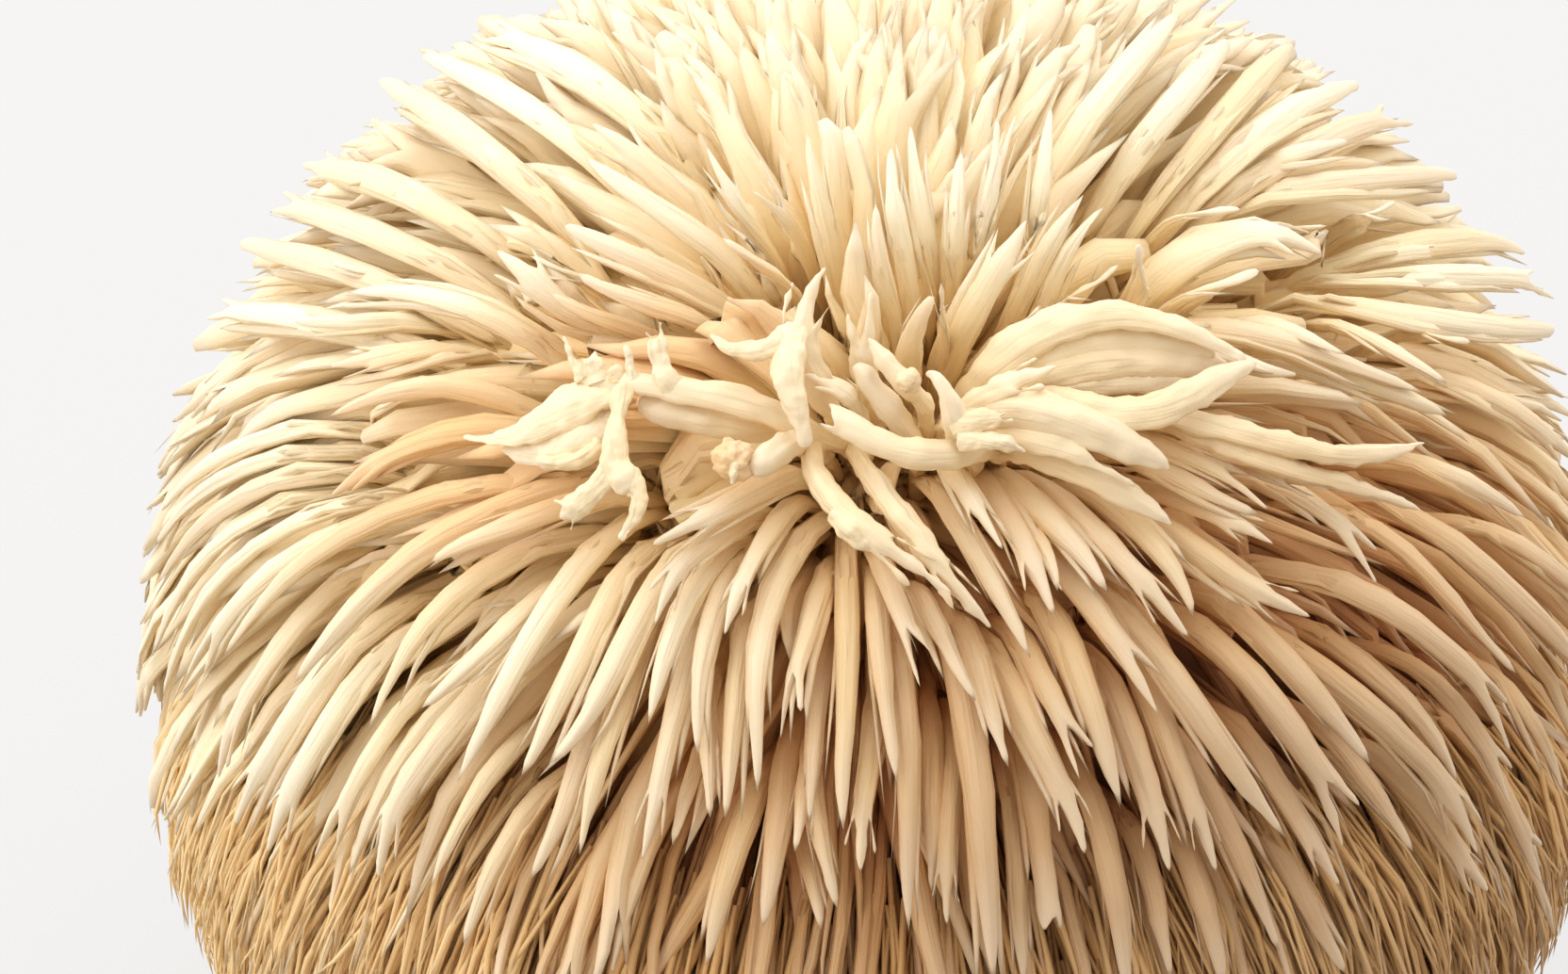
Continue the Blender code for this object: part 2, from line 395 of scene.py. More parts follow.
def prong(piece, side, height, rises, scales, spread):
    """Draws the part of the lid on this side out into a finger."""
    select_faces(piece, lambda centre: abs(centre.z - height) < 1e-3 and side(centre.x))
    shape = bmesh.from_edit_mesh(piece.data)
    x, y, top = next(face for face in shape.faces if face.select).calc_center_median()
    for rise, scale in zip(rises, scales):
        top += rise
        x += spread * rise
        grow_rim((spread * rise, 0, rise), (scale, scale, 1), (x, y, top))


def pointed_spine(levels):
    piece = start_spine(levels)
    grow_rim((0, 0, 1 - levels[-1][0]), 0.3, (0, 0, 1.0))
    bpy.ops.mesh.merge(type="CENTER")
    return end_spine(piece)


def round_spine(levels):
    piece = start_spine(levels + ((0.95, levels[-1][1] * 0.96), (0.985, levels[-1][1] * 0.75)))
    grow_rim((0, 0, 0.015), 0.4, (0, 0, 1.0))
    bpy.ops.mesh.edge_face_add()
    return end_spine(piece)


def slender_spine(levels):
    girth = levels[0][1]
    slim = ((0.0, 1.0), (0.25, 1.15), (0.45, 1.15), (0.65, 0.9), (0.84, 0.5))
    piece = start_spine(tuple((level, part * girth) for level, part in slim))
    grow_rim((0, 0, 0.16), 0.3, (0, 0, 1.0))
    bpy.ops.mesh.merge(type="CENTER")
    return end_spine(piece)


def blunt_spine(levels):
    piece = start_spine(levels[:-1] + ((0.92, 0.62),))
    grow_rim((0, 0, 0.08), 0.5, (0, 0, 1.0))
    bpy.ops.mesh.edge_face_add()
    return end_spine(piece)


def below(levels, height, girth):
    """The levels under this height, and one at it."""
    return tuple(level for level in levels if level[0] < height - 0.03) + ((height, girth),)


def forked_spine(levels):
    height = 0.8
    piece = start_spine(below(levels, height, 0.8))
    split_rim(piece, height, (0.0,))
    prong(piece, lambda x: x < -0.01, height, (0.09, 0.11), (0.7, 0.25), -1.2)
    prong(piece, lambda x: x > 0.01, height, (0.05, 0.07), (0.75, 0.25), 2.2)
    return end_spine(piece)


def fingered_spine(levels):
    height = 0.82
    girth = 0.84
    piece = start_spine(below(levels, height, girth))
    rim = girth / 2 * math.sqrt(0.5) * FLUTES[1]
    split_rim(piece, height, (-rim, rim))
    prong(piece, lambda x: x < -rim, height, (0.05, 0.05), (0.9, 0.3), -2.2)
    prong(piece, lambda x: abs(x) < rim, height, (0.09, 0.09), (0.7, 0.25), 0.2)
    prong(piece, lambda x: x > rim, height, (0.04, 0.08), (0.95, 0.3), 1.8)
    return end_spine(piece)


def torn_spine(levels):
    """Hollow at its end: the rim is drawn in and back down into the spine."""
    piece = start_spine(below(levels, 0.86, 0.86) + ((0.94, 0.9),))
    shape = bmesh.from_edit_mesh(piece.data)
    for number, vertex in enumerate(vertex for vertex in shape.verts if vertex.select):
        vertex.co.z += 0.05 * math.sin(number * 2.4)
    bmesh.update_edit_mesh(piece.data)
    grow_rim((0, 0, -0.01), 0.72, (0, 0, 0.92))
    grow_rim((0, 0, -0.07), 0.6, (0, 0, 0.85))
    bpy.ops.mesh.edge_face_add()
    return end_spine(piece)


def spurred_spine(levels):
    """Pointed, with a small spur low on one side of the tip."""
    piece = start_spine(levels)
    grow_rim((0, 0, 0.07), 0.3, (0, 0, 1.0))
    bpy.ops.mesh.merge(type="CENTER")
    select_faces(piece, lambda centre: 0.74 < centre.z < 0.83 and centre.x > 0.3)
    grow_rim((0.22, 0, 0.05), (0.6, 0.6, 0.6), (0.6, 0.0, 0.84))
    grow_rim((0.1, 0, 0.05), (0.3, 0.3, 0.3), (0.7, 0.0, 0.9))
    return end_spine(piece)


def hair():
    """A fine hair, 1 wide and 1 long, of few faces because there are thousands."""
    piece = start_spine(((0.0, 0.8), (0.45, 1.0), (0.8, 0.55)), HAIR_SIDES)
    grow_rim((0, 0, 0.2), 0.3, (0, 0, 1.0))
    bpy.ops.mesh.merge(type="CENTER")
    return end_spine(piece)


SPINE_SHAPES = {
    "pointed": (pointed_spine, 0.30, 0.12),
    "slender": (slender_spine, 0.16, 0.04),
    "blunt": (blunt_spine, 0.08, 0.24),
    "forked": (forked_spine, 0.18, 0.26),
    "fingered": (fingered_spine, 0.16, 0.24),
    "torn": (torn_spine, 0.03, 0.0),
    "spurred": (spurred_spine, 0.10, 0.14),
}  # each with the share of the spines that end so, round the ball and above the crown
CROWN_SHAPES = {
    "round": round_spine,
    "forked": forked_spine,
    "fingered": fingered_spine,
    "torn": torn_spine,
}


# ---------------------------------------------------------------- meshes made of many spines


def spline(paths, share):
    """Points and directions of smooth curves through the paths, at shares of their length."""
    last = paths.shape[1] - 1
    at = np.clip(share, 0, 1) * last
    low = np.minimum(at.astype(int), last - 1)
    t = (at - low)[None, :, None]
    before = paths[:, np.maximum(low - 1, 0)]
    start = paths[:, low]
    end = paths[:, low + 1]
    after = paths[:, np.minimum(low + 2, last)]
    a = 2 * start
    b = end - before
    c = 2 * before - 5 * start + 4 * end - after
    d = 3 * start - before - 3 * end + after
    place = (a + b * t + c * t**2 + d * t**3) / 2
    way = unit(b + 2 * c * t + 3 * d * t**2)
    return place, way


def bend_shape(shape, paths, widths, flats, turns, twists):
    """The shape's corners laid along each path."""
    place, way = spline(paths, shape.points[:, 2])
    outward = unit(place - BALL_CENTRE)
    side = unit(np.cross(outward, way))
    top = np.cross(way, side)
    angle = turns[:, None] + twists[:, None] * shape.points[None, :, 2]
    if widths.ndim == 1:
        widths = widths[:, None]
    else:
        share = np.linspace(0, 1, widths.shape[1])
        widths = np.stack([np.interp(shape.points[:, 2], share, row) for row in widths])
    x = shape.points[None, :, 0] * widths
    y = shape.points[None, :, 1] * widths * flats[:, None]
    across = x * np.cos(angle) - y * np.sin(angle)
    upward = x * np.sin(angle) + y * np.cos(angle)
    return place + side * across[..., None] + top * upward[..., None]


BAKE_ASPECT = 4.3  # how many times as long as wide a spine's cell in the bake's map is
BAKE_MARGIN = 0.06  # of a cell, left free before a spine
BAKE_FILL = 0.88  # of a cell, that a spine takes up


class Thatch:
    """Gathers bent spines and makes one mesh of them."""

    def __init__(self):
        self.points = []
        self.corners = []
        self.starts = []
        self.courses = []
        self.bakes = []
        self.tints = []
        self.owners = []
        self.point_count = 0
        self.corner_count = 0
        self.spine_count = 0

    def add(self, shape, bent, tints):
        count, size = bent.shape[:2]
        base = self.point_count + np.arange(count)[:, None] * size
        first = self.corner_count + np.arange(count)[:, None] * len(shape.corners)
        self.points.append(bent.reshape(-1, 3))
        self.corners.append((base + shape.corners[None]).ravel())
        self.starts.append((first + shape.starts[None]).ravel())
        self.courses.append(np.tile(np.stack([shape.around, shape.along], 1), (count, 1)))
        self.bakes.append(np.tile(shape.bake, (count, 1)))
        self.tints.append(np.repeat(tints, size))
        self.owners.append(np.repeat(self.spine_count + np.arange(count), len(shape.corners)))
        self.point_count += count * size
        self.corner_count += count * len(shape.corners)
        self.spine_count += count

    def bake_places(self):
        """Every spine in its own cell of the bake's map."""
        owners = np.concatenate(self.owners)
        columns = math.ceil(math.sqrt(self.spine_count * BAKE_ASPECT))
        rows = math.ceil(self.spine_count / columns)
        cell = np.stack([owners % columns, owners // columns], 1)
        filled = cell + BAKE_MARGIN + BAKE_FILL * np.concatenate(self.bakes)
        return filled / np.array([columns, rows])

    def piece(self, name, material):
        points = np.concatenate(self.points)
        corners = np.concatenate(self.corners)
        courses = np.concatenate(self.courses)
        mesh = bpy.data.meshes.new(name)
        mesh.vertices.add(len(points))
        mesh.vertices.foreach_set("co", points.astype(np.float32).ravel())
        mesh.loops.add(len(corners))
        mesh.loops.foreach_set("vertex_index", corners.astype(np.int32))
        starts = np.concatenate(self.starts)
        mesh.polygons.add(len(starts))
        mesh.polygons.foreach_set("loop_start", starts.astype(np.int32))
        mesh.polygons.foreach_set("use_smooth", np.ones(len(starts), bool))
        mesh.update(calc_edges=True)
        course = mesh.uv_layers.new(name="course")
        course.uv.foreach_set("vector", courses.astype(np.float32).ravel())
        bake = mesh.uv_layers.new(name="OFBake")
        bake.uv.foreach_set("vector", self.bake_places().astype(np.float32).ravel())
        course.active_render = True
        tint = mesh.attributes.new("tint", "FLOAT", "POINT")
        tint.data.foreach_set("value", np.concatenate(self.tints).astype(np.float32))
        mesh.validate()
        mesh.materials.append(material)
        made = bpy.data.objects.new(name, mesh)
        bpy.context.scene.collection.objects.link(made)
        return made


# ---------------------------------------------------------------- spines all over the ball

LONG_SPINES = 3400  # seeds of the outer spines over the whole ball
LONG_JITTER = 0.36  # of the spacing, how far each is off an even spread
LONG_SHARE = 0.46  # of them that grow, round the crown and below; above it all do
LONG_THINNING = 0.75  # of them that the fine ones take the place of, where those grow
UNDER_SPINES = 2300  # shorter ones below them, most above the crown and on the left
UNDER_SHARE = 0.55  # of them that grow
UNDER_PALE_SHARE = 0.45  # more of them where the flesh is pale
UNDER_THINNING = 0.3  # fewer of them where the fine ones grow
UNDER_PALE = (-0.1, 0.4)  # towards PALE_WAY, from none of that to all
FINE_SPINES = 3600  # small ones, kept only towards the lower sides
FINE_CURVE = 1.5  # above 1, few of them grow where they begin
SHORT_JITTER = 0.4  # of the under and the fine spines
TIP_DEPTHS = ((0, 0.0018), (0.003, 0.009), (0, 0.004))  # below the outline: long, under, fine
GROWN_WIDTHS = (0.0021, 0.0019, 0.0011)  # the same order
WIDTH_SPREAD = (0.75, 1.25)  # of each spine, against its kind
DRY_SLIMNESS = 0.42  # how much thinner spines are where the fine ones grow
SLENDER_FLANKS = 0.12  # how much thinner the spines are at the sides
FLANKS = (0.5, 0.9)  # to the left or right in ball radii, from none of that to all
PALE_REACH = (-0.2, 0.5)  # towards PALE_WAY, from none to all of the next
PALE_EVENNESS = 0.7  # how much less deep the tips end where the flesh is pale
STRAY = math.radians(6)  # how far spines turn from the common lie
WILD_SHARE = 0.05  # of them, that turn farther
WILDNESS = 3
BUNDLES = 420  # places where the tips of neighbours lean together
BUNDLE_JITTER = 0.6
BUNDLING = 0.42
PETAL_LOOSENESS = 0.5  # how much less the broad spines lean together
PETAL_REACH = (-0.1, 0.5)  # towards PALE_WAY, where spines get broad and where all are
PETAL_WIDTH = 1.75  # how much wider they are above the crown and on the left, and flat
PETAL_FLATNESS = 0.45  # how much flatter
FLATNESS_SPREAD = (0.6, 1.0)  # thickness of a spine against its width
TURN = 0.35  # of a spine about its own length, in radians
TWIST = 0.5  # how much more of it is added up to the tip
WAVE = 0.0006  # how far a spine wanders to a side
WAVE_TURNS = (0.9, 1.9)  # how often it sways, along its length
PARTING_AHEAD = math.radians(17)  # from the crown, where no tips stand below it
PARTING_BEHIND = math.radians(5)  # and above it
PARTING_CURVE = 1.5
ROOM_BESIDE = 0.0017  # a grown spine nearer than this to a traced one is left out
DOUBLED_SHARE = 0.45  # where more of its outer half is so near
LOWEST_TIP = math.radians(-60)  # height angle seen from the ball's centre
FINE_HEIGHTS = (-0.08, -0.24)  # in ball radii, where the fine spines begin and where they are full
FINE_RISE = 0.45  # how much higher up they begin at the front and the back than at the sides
FINE_FROM_CROWN = (math.radians(50), math.radians(64))  # and the same, from the crown
CROWN_REGION = math.radians(34)
GOLDEN_ANGLE = math.pi * (3 - math.sqrt(5))


def spread_over_ball(count, jitter, rng):
    """Even directions all round, each moved a little."""
    index = np.arange(count)
    height = 1 - 2 * (index + 0.5) / count
    ring = np.sqrt(1 - height**2)
    turn = GOLDEN_ANGLE * index
    units = np.stack([ring * np.cos(turn), ring * np.sin(turn), height], 1)
    spacing = math.sqrt(4 * math.pi / count)
    return unit(units + rng.normal(size=units.shape) * spacing * jitter)


def fineness(units):
    """0 where the spines are full, 1 low on the sides and behind, where they are small and dry."""
    low = ramp(*FINE_HEIGHTS, units[:, 2] - FINE_RISE * np.abs(units[:, 1]))
    return low * ramp(*FINE_FROM_CROWN, from_crown(units))


def petalness(units):
    """1 above the crown and on the left, where the spines are broad and flat."""
    return np.maximum(behind_crown(units), ramp(*PETAL_REACH, units @ PALE_WAY))


class Spines:
    """The spines that grow all over the ball as arrays, laid below and beside the traced ones."""

    def __init__(self, rng, fixed, fixed_thick):
        long = spread_over_ball(LONG_SPINES, LONG_JITTER, rng)
        under = spread_over_ball(UNDER_SPINES, SHORT_JITTER, rng)
        fine = spread_over_ball(FINE_SPINES, SHORT_JITTER, rng)
        fine = fine[rng.random(len(fine)) < fineness(fine) ** FINE_CURVE]
        grown = LONG_SHARE + (1 - LONG_SHARE) * behind_crown(long)
        long = long[rng.random(len(long)) < grown * (1 - LONG_THINNING * fineness(long))]
        grown = UNDER_SHARE + UNDER_PALE_SHARE * ramp(*UNDER_PALE, under @ PALE_WAY)
        under = under[rng.random(len(under)) < grown - UNDER_THINNING * fineness(under)]
        units = np.concatenate([long, under, fine])
        kind = np.repeat([0, 1, 2], [len(long), len(under), len(fine)])
        kept = (np.arcsin(units[:, 2]) > LOWEST_TIP) & ((kind > 0) | ~in_parting(units))
        units, kind = units[kept], kind[kept]
        count = len(units)
        strays = rng.normal(0, STRAY, count)
        strays[rng.random(count) < WILD_SHARE] *= WILDNESS
        deep = np.array([rng.uniform(*depths, count) for depths in TIP_DEPTHS])[kind, np.arange(count)]
        deep *= 1 - PALE_EVENNESS * ramp(*PALE_REACH, units @ PALE_WAY)
        tip_radii = TIP_RADIUS - deep
        tips = BALL_CENTRE + units * tip_radii[:, None]
        tips[:, 2] = np.maximum(tips[:, 2], FLOOR_GAP)
        leaning = BUNDLING * (1 - PETAL_LOOSENESS * petalness(units)[:, None])
        paths = bundled(trace_back(tips, strays), units, BUNDLES, leaning, rng)
        free = (kind > 0) | ~doubles(paths, fixed)
        units, kind, tip_radii, paths = units[free], kind[free], tip_radii[free], paths[free]
        count = len(units)
        slimness = DRY_SLIMNESS * fineness(units) * (kind < 2)
        self.widths = np.array(GROWN_WIDTHS)[kind] * rng.uniform(*WIDTH_SPREAD, count) * (1 - slimness)
        self.widths *= 1 - SLENDER_FLANKS * ramp(*FLANKS, np.abs(units[:, 0]))
        self.paths = settle(paths, self.widths, tip_radii, fixed, fixed_thick)
        self.paths += waves(count, self.paths.shape[1], WAVE, rng)
        self.paths[..., 2] = np.maximum(self.paths[..., 2], FLOOR_GAP)
        self.kind = kind
        self.widths *= 1 + (PETAL_WIDTH - 1) * petalness(units)
        self.flats = rng.uniform(*FLATNESS_SPREAD, count) * (1 - PETAL_FLATNESS * petalness(units))
        self.turns = rng.normal(0, TURN, count)
        self.twists = rng.normal(0, TWIST, count)
        self.tints = rng.random(count)
        self.shape_draw = rng.random(count)
        self.units = unit(self.paths[:, -1] - BALL_CENTRE)

    def endings(self, column):
        """Each spine's number in SPINE_SHAPES, drawn by the shares of this column."""
        weights = np.cumsum([row[column] for row in SPINE_SHAPES.values()])
        return np.searchsorted(weights / weights[-1], self.shape_draw)


def waves(count, points, size, rng):
    """Offsets that grow along each path and sway it to and fro."""
    share = np.linspace(0, 1, points)[None, :, None]
    sway = 0
    for turns in WAVE_TURNS:
        side = unit(rng.normal(size=(count, 1, 3)))
        start = rng.uniform(0, 2 * math.pi, (count, 1, 1))
        sway = sway + side * np.sin(share * 2 * math.pi * turns + start) * share * size
    return sway


def bundled(paths, units, count, strength, rng):
    """Paths whose outer parts lean towards the middle of their bundle."""
    middles = spread_over_ball(count, BUNDLE_JITTER, rng)
    nearest = middles[np.argmax(units @ middles.T, axis=1)]
    toward = BALL_CENTRE + nearest * TIP_RADIUS - paths[:, -1]
    toward -= units * (toward * units).sum(axis=1, keepdims=True)
    share = np.linspace(0, 1, paths.shape[1])[None, :, None]
    return paths + (toward * strength)[:, None] * share**2


def in_parting(units):
    """Whether a tip there would stand in the gap just below the crown."""
    down_slope = unit(CROWN * CROWN[2] - UP)
    off = unit(units - CROWN * (units @ CROWN)[:, None])
    ahead = (1 + off @ down_slope) / 2
    edge = PARTING_BEHIND + (PARTING_AHEAD - PARTING_BEHIND) * ahead**PARTING_CURVE
    return from_crown(units) < edge


def doubles(paths, fixed):
    """Whether most of a path's outer half runs along fixed points."""
    outer = paths[:, PATH_POINTS // 2:]
    count, points = outer.shape[:2]
    flat = TIP_RADIUS * unit(np.concatenate([outer.reshape(-1, 3), fixed]) - BALL_CENTRE)
    near = np.zeros(len(flat), bool)
    for a, b in neighbours(flat, SPINE_REACH):
        low, high = np.minimum(a, b), np.maximum(a, b)
        hit = (low < count * points) & (high >= count * points)
        hit &= np.linalg.norm(flat[low] - flat[high], axis=1) < ROOM_BESIDE
        near[low[hit]] = True
    return near[:count * points].reshape(count, points).mean(axis=1) > DOUBLED_SHARE


def regions(units):
    """A name for each spine's place on the ball."""
    names = np.array([
        "front", "front_right", "right", "back_right", "back", "back_left", "left", "front_left",
    ])
    azimuth = np.arctan2(units[:, 0], -units[:, 1])
    sector = np.round(azimuth / (math.pi / 4)).astype(int) % 8
    return np.where(from_crown(units) < CROWN_REGION, "crown", names[sector])


def add_spines(spines, shapes, material):
    petals = petalness(spines.units) > 0.5
    choice = np.where(petals, spines.endings(2), spines.endings(1))
    choice = np.where(spines.kind > 0, choice % 2, choice)
    region = regions(spines.units)
    for name in sorted(set(region)):
        thatch = Thatch()
        for number, shape in enumerate(shapes.values()):
            chosen = (region == name) & (choice == number)
            if not chosen.any():
                continue
            bent = bend_shape(
                shape, spines.paths[chosen], spines.widths[chosen], spines.flats[chosen],
                spines.turns[chosen], spines.twists[chosen],
            )
            thatch.add(shape, bent, spines.tints[chosen])
        place(thatch.piece(f"spines_{name}", material))


HAIRS = 31000  # seeds over the whole ball, kept only towards the lower sides
HAIR_JITTER = 0.5
HAIR_BEGIN = (0.2, 0.7)  # of fineness, where hairs begin and where all grow
HAIR_TUFTS = 3600
HAIR_TUFTING = 0.6
HAIR_DEPTH = 0.004  # the most a hair ends below the outline, where it is all hair
HAIR_SINKING = 0.008  # how much deeper the hairs end where they begin among the spines
HAIR_STRAY = math.radians(8)
HAIR_START = 6  # the point of a spine's path at which a hair begins
HAIR_WIDTH = 0.00045
HAIR_WIDTH_SPREAD = (0.6, 1.7)
HAIR_FLATNESS = 0.8
HAIR_WAVE = 0.00025  # how far a hair wanders from its path


def add_hairs(material, rng):
    """Fine dry hair low on the sides and behind, under and between the ends of the spines."""
    units = spread_over_ball(HAIRS, HAIR_JITTER, rng)
    kept = rng.random(HAIRS) < ramp(*HAIR_BEGIN, fineness(units))
    kept &= np.arcsin(units[:, 2]) > LOWEST_TIP
    units = units[kept]
    count = len(units)
    deep = rng.uniform(0.0, HAIR_DEPTH, count) + HAIR_SINKING * (1 - fineness(units))
    tips = BALL_CENTRE + units * (TIP_RADIUS - deep)[:, None]
    tips[:, 2] = np.maximum(tips[:, 2], FLOOR_GAP)
    paths = trace_back(tips, rng.normal(0, HAIR_STRAY, count))[:, HAIR_START:]
    paths = bundled(paths, units, HAIR_TUFTS, HAIR_TUFTING, rng)
    paths = paths + waves(count, paths.shape[1], HAIR_WAVE, rng)
    paths[..., 2] = np.maximum(paths[..., 2], FLOOR_GAP)
    widths = HAIR_WIDTH * rng.uniform(*HAIR_WIDTH_SPREAD, count)
    shape = hair()
    region = regions(units)
    for name in sorted(set(region)):
        chosen = region == name
        thatch = Thatch()
        straight = np.zeros(chosen.sum())
        flats = straight + HAIR_FLATNESS
        bent = bend_shape(shape, paths[chosen], widths[chosen], flats, straight, straight)
        thatch.add(shape, bent, rng.random(chosen.sum()))
        place(thatch.piece(f"hair_{name}", material))


def place(piece):
    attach(piece, "root")
    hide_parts(SOLID)


# ---------------------------------------------------------------- spines followed over the photograph

